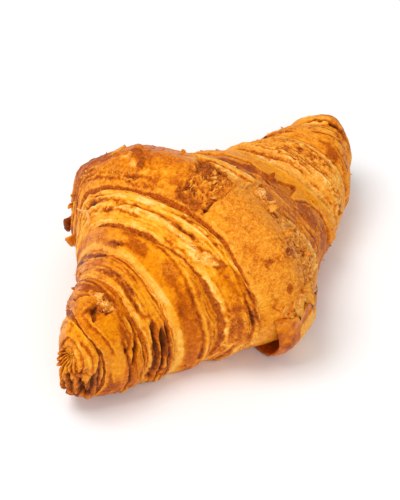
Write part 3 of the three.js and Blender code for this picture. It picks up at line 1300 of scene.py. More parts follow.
    def stand(self, flake: Flake, turns: list[Turn], steps: tuple[int, int], seed: int) -> tuple:
        """Makes one flake and stands it on the crust.

        Args:
            flake: Its place and sizes.
            turns: The finished turns.
            steps: Its faces along and across.
            seed: Chooses its ragged outline.

        Returns:
            The flake, its points and its quads.
        """
        spot = self.under(turns, flake.x, flake.around).spot(flake.x, flake.around)
        return flake, *self.plate(flake, *spot, steps, seed)

    @staticmethod
    def under(turns: list[Turn], x: float, around: float) -> Turn:
        """Finds the turn whose crust shows at a place.

        Args:
            turns: All the turns.
            x: The place along the roll.
            around: Its angle in degrees.

        Returns:
            The turn, or the first one past the ends of them all.
        """
        for turn in turns:
            column = int(np.argmin(np.abs(turn.degrees[0] - around)))
            ends = sorted((float(turn.inner_x[0, column]), float(turn.own_x[0, column])))
            if ends[0] <= x <= ends[1]:
                return turn
        return turns[0]


@dataclass
class Tail:
    """The point of the dough, which comes out from under the right side and curls up beside the roll.

    x is where its middle line leaves the roll, and root_width and rim_width are its widths at the start
    and the end. out and rise say how far that line is from the roll's axis and how high, at shares of
    its length. follow is how closely the rim keeps to the roll's side as that narrows, droop how much
    the rim sinks towards the far tip, ripple how much it waves, and clearance keeps it off the table.
    """

    x: float = -5.2
    root_width: float = 9
    rim_width: float = 24
    thickness: float = 2.4
    droop: float = 0.12
    ripple: float = 0.5
    follow: float = 1.0
    clearance: float = 0.4
    shares: tuple[float, ...] = (0, 0.3, 0.5, 0.72, 1)
    out: tuple[float, ...] = (25, 34, 40.5, 45.8, 47.2)
    rise: tuple[float, ...] = (1.3, 1.4, 4.6, 13.5, 25.5)
    rows: int = 120
    columns: int = 180
    form: Spindle = field(default_factory=Spindle)

    def middle(self, across: np.ndarray, along: np.ndarray) -> np.ndarray:
        """Lays out the middle of the tail's thickness.

        Args:
            across: Shares of the way across it, towards the far tip.
            along: Shares of the way along it, from the roll to the rim.

        Returns:
            Points with x, y and z last.
        """
        width = self.root_width + (self.rim_width - self.root_width) * along
        x = self.x + (across - 0.5) * width
        start = self.form.read("right", np.array([self.x]))[0]
        narrowing = start - self.form.read("right", x.ravel()).reshape(x.shape)
        out = through(self.shares, self.out, along) - self.follow * narrowing * along
        ripple = self.ripple * np.sin(9 * across) * along
        height = through(self.shares, self.rise, along) * (1 - self.droop * across**3 * along)
        return np.stack([x, -(out + ripple), height], -1)

    def build(self, material: bpy.types.Material) -> bpy.types.Object:
        """Makes the piece.

        Args:
            material: Its material.

        Returns:
            The piece.
        """
        along = np.linspace(0, 1, self.rows)[:, None]
        turn = np.linspace(0, 2 * math.pi, self.columns, endpoint=False)[None]
        # A ring runs across the outer face and back across the inner one
        across = 0.5 - 0.5 * np.cos(turn) + 0 * along
        noise = Noise(31)
        rim = 0.035 * noise.rough(across * 7, np.sign(np.sin(turn)) * 2 + 0 * along, along * 0 + 3)
        reach = along * (1 + rim)
        nudge = 0.01
        ahead = self.middle(across, reach + nudge) - self.middle(across, reach - nudge)
        beside = self.middle(across + nudge, reach) - self.middle(across - nudge, reach)
        normal = np.cross(beside, ahead)
        normal /= np.linalg.norm(normal, axis=-1, keepdims=True)
        edge = np.sign(np.sin(turn)) * np.abs(np.sin(turn)) ** 0.3
        thin = 1 - 0.65 * eased(along, 0.5, 1.0) - 0.2 * eased(np.abs(across - 0.5), 0.3, 0.5)
        relief = noise.rough(across * 9, along * 12, turn * 0 + 1)
        # The outer face keeps part of a torn outer sheet, and has a nick near its rim
        outer = eased(np.sin(turn), -0.2, 0.2)
        side_tear = across + 0.1 * noise.rough(across * 6, along * 6, turn * 0 + 5)
        end_tear = along + 0.05 * noise.rough(across * 7, along * 3, turn * 0 + 9)
        sheet = outer * eased(side_tear, 0.34, 0.37) * (1 - eased(end_tear, 0.84, 0.86))
        nick = np.exp(-(((across - 0.82) / 0.06) ** 2) - ((along - 0.88) / 0.025) ** 2)
        points = self.middle(across, reach)
        offset = edge * self.thickness / 2 * thin + 0.22 * relief * np.sign(np.sin(turn))
        offset = offset + 0.5 * sheet - 0.6 * nick * outer
        points = points + normal * offset[..., None]
        points[..., 2] = np.maximum(points[..., 2], self.clearance)
        bake = 0.6 + 0.14 * relief - 0.15 * eased(along, 0.9, 1.0)
        bake = bake + 0.25 * np.exp(-(((along - 0.3) / 0.12) ** 2))
        # The inner face, which faces the roll, and the hollow of the nick are painted darker as shade
        bake = bake + (0.74 - bake) * (1 - outer) + (0.24 - bake) * sheet + 0.5 * nick * outer
        dry = 0.05 + 0.3 * eased(along, 0.93, 1.0) + 0.7 * sheet + 0 * across
        piece = Tube(points).build("loose_tail", {"bake": bake + 0 * across, "dry": dry})
        piece.data.materials.append(material)
        return piece


@dataclass(frozen=True)
class Finish:
    """A baked crust, shaded from golden to brown by how long its place saw the oven's heat.

    washed are the shades under egg wash, which gives a clear saturated sheen, and dusty those of dry
    torn layers, which look paler and matte. Both run from pale to burnt, at the stops, and the value
    that picks among them also carries painted shade and painted highlights. sheen tints the
    highlights. freckle_weight is how strongly the freckles shade the crust, and pore_washed and
    pore_dusty are that for the pores, under egg wash and on torn layers.
    """

    name: str
    washed: tuple[str, ...] = ("#fdc55c", "#f7ad28", "#ee9510", "#dd7a05", "#bd5804", "#953f06", "#4c1a02")
    dusty: tuple[str, ...] = ("#fdd28c", "#f4b253", "#e69434", "#d27824", "#b2591f", "#8a421a", "#4a1e0a")
    stops: tuple[float, ...] = (0.0, 0.18, 0.36, 0.5, 0.64, 0.8, 1.0)
    sheen: str = "#ffbe5a"
    rough_washed: float = 0.34
    rough_dusty: float = 0.72
    ior: float = 1.4
    specular: float = 0.32
    # Real pores are about 0.2 mm, finer than a pixel of the render, so they are drawn coarser.
    pore_mm: float = 0.55
    freckle_mm: float = 1.5
    streak_mm: float = 0.9
    freckle_weight: float = 0.42
    pore_washed: float = 0.35
    pore_dusty: float = 0.95
    pore_depth_mm: float = 0.1


def linear(code: str) -> tuple[float, float, float, float]:
    """Turns an sRGB hex value to linear colour.

    Args:
        code: The value, with its leading mark.

    Returns:
        Red, green, blue and an alpha of 1.
    """
    parts = (int(code[i:i + 2], 16) / 255 for i in (1, 3, 5))
    return (*(p / 12.92 if p <= 0.04045 else ((p + 0.055) / 1.055) ** 2.4 for p in parts), 1.0)


def add_node(
    tree: bpy.types.NodeTree, kind: str, links: dict | None = None, **settings: object
) -> bpy.types.Node:
    """Adds a node.

    Args:
        tree: The node tree.
        kind: The node's type.
        links: Input name or number to another node's output, or to a value.
        settings: The node's own settings.

    Returns:
        The node.
    """
    node = tree.nodes.new(kind)
    for key, value in settings.items():
        setattr(node, key, value)
    for key, value in (links or {}).items():
        if isinstance(value, bpy.types.NodeSocket):
            tree.links.new(value, node.inputs[key])
        else:
            node.inputs[key].default_value = value
    return node


def crust_material(finish: Finish) -> bpy.types.Material:
    """Makes the procedural material of a baked crust.

    The eye sees laminated dough under egg wash as a clear amber glaze, glossy in soft patches, over a
    skin of pores and freckles, and where layers have torn as paler, matte and dusty edges.

    Args:
        finish: Its colours, gloss and sizes.

    Returns:
        The material, which reads the shades and the grain that each piece stores.
    """
    material = bpy.data.materials.new(finish.name)
    material.use_nodes = True
    tree = material.node_tree
    tree.nodes.clear()
    place = add_node(tree, "ShaderNodeTexCoord").outputs["Object"]
    bake, dry, grain, grain_x, grain_y = (
        add_node(tree, "ShaderNodeAttribute", attribute_name=name).outputs["Fac"]
        for name in ("bake", "dry", "grain", "grain_x", "grain_y")
    )
    unrolled = add_node(tree, "ShaderNodeCombineXYZ", {0: grain_x, 1: grain_y}).outputs[0]
    freckles, streaks, pores = (
        add_node(tree, "ShaderNodeTexNoise", {
            "Vector": where, "Scale": 1 / size, "Detail": 3.0, "Roughness": roughness,
        }).outputs["Fac"]
        for where, size, roughness in (
            (place, finish.freckle_mm * MM, 0.6),
            (unrolled, finish.streak_mm, 0.6),
            (place, finish.pore_mm * MM, 0.65),
        )
    )
    pitting, rough = (
        add_node(tree, "ShaderNodeMapRange", {"Value": dry, "To Min": low, "To Max": high}).outputs[0]
        for low, high in (
            (finish.pore_washed, finish.pore_dusty),
            (finish.rough_washed, finish.rough_dusty),
        )
    )
    shade = bake
    for spots, weight in ((freckles, finish.freckle_weight), (streaks, grain), (pores, pitting)):
        around_zero = add_node(tree, "ShaderNodeMath", {0: spots, 1: 0.5}, operation="SUBTRACT").outputs[0]
        shade = add_node(
            tree, "ShaderNodeMath", {0: around_zero, 1: weight, 2: shade}, operation="MULTIPLY_ADD"
        ).outputs[0]
    colours = []
    for codes in (finish.washed, finish.dusty):
        ramp = add_node(tree, "ShaderNodeValToRGB", {"Fac": shade})
        points = ramp.color_ramp.elements
        while len(points) < len(codes):
            points.new(0.5)
        for point, stop, code in zip(points, finish.stops, codes):
            point.position = stop
            point.color = linear(code)
        colours.append(ramp.outputs["Color"])
    colour = add_node(tree, "ShaderNodeMix", {0: dry, 6: colours[0], 7: colours[1]}, data_type="RGBA")
    bump = add_node(tree, "ShaderNodeBump", {
        "Height": pores, "Strength": 0.8, "Distance": finish.pore_depth_mm * MM,
    }).outputs[0]
    shader = add_node(tree, "ShaderNodeBsdfPrincipled", {
        "Base Color": colour.outputs[2],
        "Roughness": rough,
        "IOR": finish.ior,
        "Specular IOR Level": finish.specular,
        "Specular Tint": linear(finish.sheen),
        "Normal": bump,
    })
    add_node(tree, "ShaderNodeOutputMaterial", {"Surface": shader.outputs[0]})
    return material


LIPS = {
    "near_end": Lip(-70.5, wander=0.3, ragged=0.2),
    "e": Lip(-65, -4.4, 5.6, 1.8, 0.5, face=0.76, edge=0.0, pale=0.2, slope=0.8),
    "d": Lip(-48.7, -1.9, 2.6, 1.7, 0.35, face=0.62, edge=-0.18, pale=0.45, slope=1.2),
    "c": Lip(-39.2, -2.8, 3.2, 1.5, 0.35, face=0.54, edge=-0.34, pale=0.6, slope=1.5),
    "b": Lip(-29.7, 0.8, 1.5, 1.9, 0.35, sweep=-4, face=0.68, edge=-0.1, pale=0.12, slope=1.3, foot=0.6),
    "a": Lip(
        -17.6, 0.7, -3.1, 2.7, 0.32, sweep=-6, torn=0.2, face=0.68, edge=-0.1, pale=0.14, slope=1.9,
        widen=1.2, foot=0.4,
    ),
    "f0": Lip(10.6, 4.5, 1.5, 3.0, 0.55, ragged=0.6, face=0.6, edge=-0.15, slope=0.8, traced=(
        (-14, 0), (-10, 1), (-7, 3.8), (-2, 5), (4, 4.2), (9, 4.1), (14, 2.3), (17, 2.9), (19, 2.7),
        (20.5, -2.8), (23, -1), (30, -6.6), (32, -5.5), (41, -4.1), (47, -1.8), (59, -0.5), (74, 2.1),
        (90, 0),
    )),
    # The f1 lip faces away, so its face shade shows only as a painted shadow line on the next turn
    "f1": Lip(36.2, 3.2, 2, 2.4, 0.35, face=0.82, edge=-0.2, slope=1.0, foot=1.0),
    "f2": Lip(53.2, 3.6, 0.5, 2.0, 0.3, face=0.78, edge=-0.12, slope=0.8),
    "f3": Lip(64.5, 5, 0, 1.8, 0.3, face=0.78, edge=-0.12, slope=0.6),
    "far_end": Lip(77, wander=0.3, ragged=0.2),
}

UPPER_SHEET_EDGE = (
    (22, -40), (24, -28), (26.2, -19), (27.4, -10), (28.4, -4), (27.4, 4), (26.4, 15), (29.6, 20),
    (31.9, 25), (32.2, 29), (31.4, 32), (25.2, 33), (24.7, 36), (30.2, 42), (33, 50), (34.9, 58), (35, 68),
    (35.2, 78), (36, 96),
)

# In these looks a crease, a stroke with negative height, is darkened along it as painted shade, as the
# grooves between layers are
LOOKS = {
    "near_tip": TurnLook(
        0.37, 0.2,
        sheets=10,
        layers=(
            Layers(2.0, 0.7, arc=(34, 160), groove_shade=0.4, wander=0.3, crest=0.15),
            Layers(1.3, 0.6, arc=(-120, -10), groove_shade=0.4),
        ),
        strokes=(
            Stroke(
                ((-65.3, 38), (-66.2, 57), (-67.3, 75), (-68.2, 93), (-68.7, 115), (-68.9, 135)),
                0.6, -1.2, 0.5, ragged=0.1,
            ),
            Stroke(
                ((-65.5, 62), (-66.4, 80), (-66.8, 98), (-66.3, 120), (-65.7, 145)),
                0.5, -1.0, 0.45, ragged=0.1,
            ),
            Stroke(((-66.9, 50), (-67.9, 70), (-69, 90), (-69.6, 115)), 0.4, 0.5, -0.15, 0.2, ragged=0.1),
            Stroke(
                ((-68.4, 20), (-67, 38), (-66, 56), (-65.2, 75), (-65.6, 105)),
                0.4, 0.5, -0.2, 0.3, ragged=0.1,
            ),
            Stroke(((-70.3, -20), (-69.2, -2), (-68.9, 12), (-69.4, 30), (-70.2, 44)), 0.5, -0.5, 0.3, 0.3),
        ),
        patches=(
            # A pale patch on the end's upper face is a painted highlight
            Patch(-68.2, 16, 1.3, 4.5, bake=0.26, dry=0.1, soft=1.0),
        ),
    ),
    "turn_d_e": TurnLook(
        0.51, 0.12,
        grain=0.15,
        wrinkle=0.15,
        layers=(
            Layers(2.2, 1.5, arc=(56, 150), span=(0, 0.6), groove_shade=0.6, crest=0.25, wander=0.25),
            Layers(1.3, 0.6, arc=(-130, -45), groove_shade=0.4),
        ),
        areas=(
            Area(
                ((-60, -32), (-56, -24), (-55, -4), (-58.5, 1), (-62.5, 8), (-64, -14)),
                bake=0.56, dry=0.35, soft=1.2,
            ),
            Area(((-54.5, 1), (-51.8, 8), (-53, 26), (-57.5, 21), (-62.5, 17), (-59, 0)),
                 lift=-1.4, crumb=0.9, bake=0.68, dry=0.6, crumb_size=1.1),
        ),
        strokes=(
            Stroke(((-49.5, 41), (-49, 51), (-49.7, 58), (-52, 71), (-53.7, 81)), 0.6, 0.7, -0.25, 0.2),
            Stroke(
                ((-53.5, 28), (-53, 39), (-53, 49), (-54, 60), (-55.7, 71), (-57, 83)),
                0.6, 0.7, -0.25, 0.2,
            ),
            Stroke(
                ((-51.5, 36), (-51.2, 50), (-52, 62), (-54.5, 76), (-56.7, 92)),
                0.6, -0.9, 0.4, ragged=0.15,
            ),
            Stroke(((-49.4, 52), (-50.4, 72), (-50.9, 90), (-52, 130)), 0.7, -1.1, 0.3, ragged=0.15),
            Stroke(((-53, 58), (-55.2, 76), (-56.7, 95), (-57, 130)), 0.7, -1.1, 0.3, ragged=0.15),
            Stroke(((-56.2, 63), (-58.2, 74)), 0.5, -0.7, 0.4),
            Stroke(((-60, -30), (-57, -15), (-55.5, -3)), 0.5, 0.5, -0.15, cover=-1),
            Stroke(((-62.8, 15), (-58, 21), (-53.6, 25)), cover=-1, height=0.8, run=3, rim=0.2, shadow=0.4),
            Stroke(
                ((-64, -6), (-61, -2), (-58.6, 1), (-54.8, 2)),
                cover=1, height=0.8, run=3, rim=0.2, shadow=0.4,
            ),
        ),
        patches=(
            Patch(-53.7, -15, 1.4, 4.5, bake=0.78, dry=0.1),
            Patch(-55.0, 3, 1.3, 3.6, lift=0.8, crumb=0.9, bake=0.2, dry=0.9),
            Patch(-54.4, 14, 1.1, 2.2, lift=0.8, crumb=0.9, bake=0.24, dry=0.8),
            Patch(-56, -68, 3, 5, lift=1.3, soft=1.5),
            Patch(-59.5, 11, 1.3, 2.8, bake=0.9, lift=-0.5),
            Patch(-59, 36, 2.8, 6, bake=0.44, dry=0.0),
            Patch(-60.3, 80, 2, 7, bake=0.36, dry=0.1, lift=0.4),
            Patch(-62, 116, 1.6, 3, bake=0.7, dry=0.8),
            Patch(-56.5, 50, 1.2, 3.4, bake=0.7, dry=0.1),
        ),
    ),
    "turn_c_d": TurnLook(
        0.42, 0.18,
        layers=(
            Layers(1.5, 0.8, arc=(-130, -5), groove_shade=0.5, crest=0.15),
            Layers(1.5, 0.3, arc=(0, 60), groove_shade=0.2),
            Layers(1.7, 0.9, arc=(62, 150), groove_shade=0.45, crest=0.25, wander=0.25),
        ),
        strokes=(
            Stroke(
                ((-35.7, -84), (-39.7, -60), (-40.4, -41), (-40.7, -27), (-40.7, -14), (-41.2, -1),
                 (-41.2, 10), (-41.4, 27), (-42.4, 50)),
                0.4, -0.3, 0.26, 0.1,
            ),
            Stroke(((-42.4, -72), (-45.7, -36), (-45.7, -17), (-46, -3), (-46.5, 10), (-46.7, 30)),
                   0.5, 0.3, 0.2, 0.5),
            Stroke(((-45.2, 56), (-46.5, 74), (-47.5, 95), (-47.8, 130)), 0.8, -1.6, 0.55, ragged=0.15),
            Stroke(((-43.4, 66), (-44.5, 85), (-45, 100), (-45, 130)), 0.9, -1.9, 0.65, ragged=0.15),
            Stroke(((-41.6, 64), (-42.4, 82), (-42.5, 100), (-42.2, 130)), 0.6, -1.1, 0.45, ragged=0.15),
            Stroke(((-43.2, 0), (-43.6, 20), (-44.6, 42), (-44.4, 60)), 0.4, -0.3, 0.25),
        ),
        patches=(
            Patch(-46.8, 21, 0.7, 1.4, bake=0.9),
            Patch(-44.5, 35, 1.6, 6, bake=0.3, dry=0.1),
            Patch(-43, -32, 1.2, 6, bake=0.6),
        ),
    ),
    "turn_b_c": TurnLook(
        0.46, 0.04,
        blotch=0.1,
        grain=0.12,
        wrinkle=0.12,
        sheets=8,
        layers=(
            Layers(1.05, 0.55, span=(0, 0.55), arc=(66, 150), groove_shade=0.4),
            Layers(1.0, 0.35, span=(0, 1), arc=(-140, -50), groove_shade=0.35),
        ),
        strokes=(
            Stroke(
                ((-30.8, 8), (-31.3, 20), (-32.2, 35), (-33, 51), (-33.4, 67), (-32.4, 92),
                 (-32.9, 120)),
                cover=1, height=0.7, bake=-0.1, dry=0.25, run=3, shadow=0.3, rim=0.12,
            ),
            Stroke(((-34.7, -48), (-36.7, -33), (-37.2, -21), (-36.4, -10)), 1.1, -0.1, 0.24, 0.6),
            Stroke(
                ((-34.6, -50), (-37.2, -20), (-38.5, 0), (-39.1, 20), (-39, 40), (-38.5, 60),
                 (-38.1, 90), (-38.2, 120)),
                0.4, 0.5, -0.1, 0.1, ragged=0.1,
            ),
        ),
        patches=(
            Patch(-35.3, 4, 1.5, 5.5, bake=0.76, dry=0.0),
            Patch(-36, 19, 1.8, 4, bake=0.42, dry=0.0, ragged=0.3),
            Patch(-34.6, 31, 1.5, 4, bake=0.62, dry=0.45),
            Patch(-35.6, 46, 1.2, 4, bake=0.72, dry=0.05),
            Patch(-36.5, 64, 1.1, 3, bake=0.86, dry=0.0),
            Patch(-35.8, 92, 2.1, 17, bake=0.66, dry=0.05, soft=1.2),
            Patch(-31.2, -30, 1.1, 9, bake=0.38, dry=0.5),
            Patch(-33.3, -12, 1.2, 3, bake=0.7, dry=0.0),
        ),
    ),
    "turn_a_b": TurnLook(
        0.25, 0.12,
        blotch=0.09,
        grain=0.6,
        sheets=50,
        layers=(
            Layers(1.25, 0.42, span=(0.05, 1), arc=(-60, 60), groove_shade=0.3, wander=0.8),
            Layers(1.9, 1.6, span=(0.05, 1), arc=(-150, -46), groove_shade=0.75, crest=0.2, soft_arc=8),
            Layers(1.35, 0.9, span=(0.0, 0.5), arc=(80, 150), groove_shade=0.4),
        ),
        strokes=(
            Stroke(((-24.7, -35), (-23.2, -26), (-21.7, -15), (-21.7, 0), (-22.4, 21), (-23.4, 33)),
                   0.7, 0.35, -0.1, 0.15),
            Stroke(
                ((-27.7, -33), (-26.2, -23), (-25.7, -12), (-25.2, -1), (-25.4, 8), (-26.2, 18),
                 (-27.2, 41)),
                0.8, 0.5, -0.14, 0.45,
            ),
            Stroke(((-26.2, -33), (-24.8, -20), (-24.2, -8), (-23.8, 6), (-24.6, 24), (-25.6, 33)),
                   0.4, -0.4, 0.3),
            Stroke(((-21.4, 43), (-21.2, 51), (-20.9, 60), (-20.7, 78), (-21.4, 99), (-22.2, 111)),
                   0.7, 0.5, -0.2, 0.1),
            Stroke(((-22.7, 50), (-22.5, 62), (-22.4, 74), (-22.8, 90)), 0.4, -0.5, 0.32),
            Stroke(((-28.7, 46), (-28.4, 58), (-27.9, 69), (-27.4, 81), (-27.2, 96)), 0.5, 0.5, -0.2, 0.2),
            Stroke(((-27.2, 48), (-26.9, 60), (-26.4, 72), (-26.2, 84)), 0.35, -0.4, 0.3),
        ),
        patches=(
            Patch(-25.4, 39, 1.5, 2.4, lift=0.4, crumb=0.8, ragged=1.2, bake=0.12, dry=0.85),
            Patch(-22.9, 120, 5, 8, lift=-0.8, soft=2),
            Patch(-24.0, 46, 0.8, 1.8, bake=0.8),
            Patch(-24.3, 59, 2.2, 6, bake=0.52, dry=0.0, soft=1.2),
            Patch(-24.9, 88, 1.5, 7, bake=0.64, dry=0.6, soft=1.0),
            Patch(-24.7, 74, 1.1, 1.4, bake=0.74),
            Patch(-22.2, -11, 0.8, 3.5, bake=0.05, dry=0.7),
            Patch(-24.6, -16, 0.6, 0.9, bake=0.85),
            Patch(-23.0, 20, 1.0, 4, bake=0.1, dry=0.4),
            Patch(-26.2, 30, 0.7, 4, bake=0.08, dry=0.7),
        ),
    ),
    "middle_turn": TurnLook(
        0.43, 0.25,
        blotch=0.09,
        pits=0.13,
        wrinkle=0.3,
        grain=0.42,
        grain_stretch=1.3,
        sheets=34,
        layers=(
            Layers(1.9, 1.5, span=(0.62, 1), arc=(-150, -58), groove_shade=0.7, crest=0.2, soft_arc=8),
            Layers(1.1, 0.4, span=(0, 0.3), arc=(-60, 22), groove_shade=0.35, crest=0.1),
        ),
        areas=(
            Area(
                ((2.9, -5), (5.6, -2), (7.9, 3), (7.9, 9), (8.4, 16), (9.6, 21), (6.6, 30), (0.6, 24),
                 (0.6, 18), (2.4, 10), (4.6, -1)),
                lift=-0.3, crumb=0.35, bake=0.16, dry=0.65,
            ),
            Area(
                ((5.9, -12), (2.9, -5), (5.6, -2), (7.9, 3), (7.9, 9), (8.4, 16), (9.6, 21), (17, 21),
                 (18, 9), (19, 0), (16, -9)),
                lift=0.7, bake=0.14, dry=0.45, ragged=0.2, soft=0.25,
            ),
            Area(
                ((0.6, 20), (10, 21.5), (14, 23), (14, 36), (20, 50), (24, 62), (24, 78), (2, 86),
                 (-1, 62), (1, 44), (-0.4, 32)),
                lift=-0.5, crumb=0.6, bake=0.12, dry=0.7, crumb_size=1.6,
            ),
            Area(
                ((3.1, -4), (4.6, -1), (2.4, 10), (0.6, 18), (-5.4, 19), (-8.1, 19), (-12.9, 18),
                 (-16.4, 18), (-17.4, 12), (-17, 4), (-14.7, 0), (-10.9, 2), (-1.9, -2)),
                lift=-0.9, crumb=1.1, bake=0.56, dry=0.6, crumb_size=1.1, ragged=1.1, soft=0.7,
            ),
            Area(
                ((3.1, -4), (4.6, -1), (2.4, 10), (0.6, 17), (-4, 15), (-7, 8), (-6, 1)),
                bake=0.74, dry=0.85, soft=1.0,
            ),
            Area(
                ((-14.7, 0), (-17.6, 2), (-18, 12), (-17, 18), (-14.9, 14), (-14.2, 5)),
                bake=0.72, dry=0.6,
            ),
            Area(
                ((-21.2, -66), (-18.4, -64), (-15.9, -60), (-14.2, -53), (-12.1, -44), (-9.6, -39),
                 (-6.4, -38), (-2, -44), (-6, -62), (-11, -74), (-18, -84)),
                bake=0.7, dry=0.4, lift=-0.8, ragged=0.4,
            ),
        ),
        strokes=(
            Stroke(
                ((-18.7, -70), (-17.2, -60), (-16.7, -54), (-16.4, -43), (-15.9, -35), (-15.9, -23),
                 (-16.7, -18), (-17.4, -7)),
                cover=1, height=0.6, run=3, shadow=0.2, rim=0.0, ragged=0.5,
            ),
            Stroke(((-18.2, -62), (-17.6, -50), (-17.3, -40), (-17, -28), (-17.6, -16)),
                   cover=1, height=0.35, run=1.2, shadow=0.25, rim=0.2, ragged=0.4, dry=0.2),
            Stroke(
                ((-23.9, -72), (-21.2, -66), (-18.4, -64), (-15.9, -60), (-14.2, -53), (-12.1, -44),
                 (-9.6, -39), (-6.4, -38)),
                0.5, -0.9, 0.45, ragged=0.1,
            ),
            Stroke(
                ((-6.9, -27), (-9.5, -29.5), (-12, -25), (-14.8, -18.5), (-12.8, -15.5), (-10, -19),
                 (-7.2, -22)),
                0.45, 0.5, -0.22, 0.3,
            ),
            Stroke(((-6.5, -25), (-3, -30), (-1, -37)), 1.1, 1.0, 0.12),
            Stroke(((3.4, -4), (-6.4, 1), (-11.4, 2), (-15.4, 1)), cover=-1, height=0.4, run=4, shadow=0.1,
                   ragged=0.9),
            Stroke(
                ((1.6, 19), (-5.4, 19), (-8.1, 19.5), (-12.9, 18), (-17, 18.5)),
                cover=1, height=1.0, run=5, shadow=0.45, rim=0.2,
            ),
            Stroke(
                ((1.1, 0), (0.9, 8), (-0.1, 19), (0.6, 25), (-0.4, 32), (1.4, 40), (0.1, 44), (0.6, 47),
                 (-3.1, 52), (-2, 64), (-1.5, 76)),
                cover=-1, height=0.7, run=4, ragged=0.5, shadow=0.25,
            ),
            Stroke(((-7.6, -21), (-2.6, -23), (6.1, -30)), 0.5, -0.5, 0.3),
            Stroke(
                ((2.9, -5), (5.6, -2), (7.9, 3), (7.9, 9), (8.4, 16), (9.8, 21)),
                0.4, -0.4, 0.35, ragged=0.1,
            ),
            Stroke(((5.5, -8), (9.4, -2), (10.5, 6), (10.8, 12), (11.6, 18)), 0.3, -0.3, 0.25, ragged=0.1),
            Stroke(((9, -9), (12.2, -2), (12.9, 6), (12.6, 13)), 0.3, -0.3, 0.2, ragged=0.1),
            # A darker crease on the blister's right side is a painted shadow
            Stroke(((-5.9, -24.5), (-7.4, -21), (-9.7, -18.5), (-12.6, -15.5)), 0.6, -0.7, 0.3, ragged=0.1),
            Stroke(((6, 52), (4, 58), (5, 64), (2, 70)), 0.3, -0.4, 0.4, ragged=0.6),
            Stroke(((0, 54), (5, 53), (9, 57), (13, 58)), 0.3, -0.4, 0.4, ragged=0.6),
            Stroke(((-7.6, 42), (-8.1, 47), (-4.9, 48), (-4.1, 52), (1.9, 54)), cover=1, height=0.6, run=3,
                   shadow=0.35, rim=0.2, ragged=0.4),
            Stroke(
                ((-4.9, 48), (-6.6, 53), (-5.4, 58), (-1.6, 64)),
                cover=-1, height=0.6, run=3, shadow=0.35, rim=0.2, ragged=0.4,
            ),
            Stroke(
                ((-14.7, 52), (-12.6, 53), (-11.4, 56), (-8.6, 58), (-6.9, 63)),
                cover=1, height=0.5, run=3, shadow=0.35, rim=0.2, ragged=0.5,
            ),
            Stroke(
                ((-16.2, 69), (-14.9, 76), (-16.2, 79), (-14.2, 85)),
                cover=1, height=0.6, run=3, shadow=0.3, rim=0.2, ragged=0.2,
            ),
            Stroke(
                ((-10.6, 73), (-9.4, 81), (-11.9, 84)),
                cover=-1, height=0.7, run=3, shadow=0.35, rim=0.2, ragged=0.2,
            ),
            Stroke(
                ((-15.4, 88), (-12.9, 90.5), (-10.6, 93), (-8.1, 93), (-5.9, 89), (-2.5, 84),
                 (-0.6, 76)),
                0.7, -1.2, 0.5,
            ),
        ),
        patches=(
            Patch(-2, 52, 17, 30, bake=0.42, dry=0.62, soft=3, ragged=1.5),
            Patch(5, 62, 9, 15, soft=3, ragged=2, crumb=0.3),
            Patch(-5, -40, 10, 31, bake=0.59, dry=0.0, soft=3, ragged=1.5, weight=0.85),
            Patch(-7, -57, 5, 13, bake=0.76, dry=0.1, soft=2, ragged=1.5, weight=0.9),
            Patch(-9.4, -25, 2.2, 2.8, lift=1.7, bake=0.76, dry=0.35, soft=0.5, ragged=0.3),
            Patch(-12.2, -20.3, 2.2, 1.5, lift=1.5, bake=0.82, dry=0.35, soft=0.5, ragged=0.3),
            # The pale spots below on the blister are painted highlights
            Patch(-10.6, -29.5, 0.6, 2.4, lift=0.4, bake=0.15, dry=0.8),
            Patch(-12.9, -23.5, 0.5, 1.6, lift=0.4, bake=0.1, dry=0.8),
            Patch(-7.2, -26, 0.5, 1.6, bake=0.3, dry=0.8),
            Patch(13, -28, 4, 7, lift=-0.8, soft=2),
            Patch(-16, -80, 5, 12, lift=-0.8, soft=2),
            Patch(9.5, 36, 2.2, 3.0, bake=0.72, dry=0.85),
            Patch(3, 38, 2.0, 4.0, bake=0.64, dry=0.5, crumb=0.3),
            Patch(11.6, 17.5, 2.4, 1.5, lift=0.7, bake=0.4, dry=0.2),
            Patch(9, 26, 3.6, 2.6, lift=0.5, crumb=0.9, bake=0.08, dry=0.9),
            Patch(-11, 72, 1.0, 1.8, turn=20, ragged=0.05, soft=0.15, lift=-0.25, bake=0.74, dry=0.3),
            Patch(-5.4, 55, 3.5, 2.2, bake=0.58, dry=0.6, ragged=1.6, crumb=0.15),
            Patch(-12.4, 55, 2.2, 1.4, bake=0.56, dry=0.5, ragged=1.4, crumb=0.12),
            Patch(-14.9, 48, 1.2, 2.4, bake=0.58, dry=0.5, ragged=1.2),
            Patch(-11, 88, 3.5, 1.6, bake=0.12, dry=0.9, lift=0.3, ragged=0.3, soft=0.3),
        ),
    ),
    "turn_f0_f1": TurnLook(
        0.52, 0.5,
        blotch=0.09,
        areas=(
            Area(
                (*UPPER_SHEET_EDGE, (48, 96), (46, -40)),
                bake=0.38, dry=0.15, lift=0.5, ragged=0.3, soft=0.3,
            ),
        ),
        strokes=(
            Stroke(UPPER_SHEET_EDGE, cover=1, height=0.5, run=2.5, shadow=0.2, rim=0.12, ragged=0.2),
        ),
        patches=(
            Patch(21, -28, 5, 6, lift=-0.8, soft=2),
            Patch(31, 93, 6, 8, lift=-1.2, soft=2),
            Patch(20, -6, 3, 4, bake=0.74, dry=0.3, ragged=1.2),
            Patch(24, 2, 2.2, 3, bake=0.8, dry=0.2, ragged=1.0),
            Patch(26, 15, 2, 4, bake=0.74, dry=0.3),
            Patch(32.2, 29, 1.2, 1.6, bake=0.86, dry=0.1),
            Patch(22, 30, 3, 5, bake=0.6, dry=0.7),
            Patch(26, 50, 3.5, 6, bake=0.72, dry=0.6, ragged=1.2),
            Patch(30, 78, 3, 6, bake=0.7, dry=0.4, ragged=1.2),
        ),
    ),
    "turn_f1_f2": TurnLook(
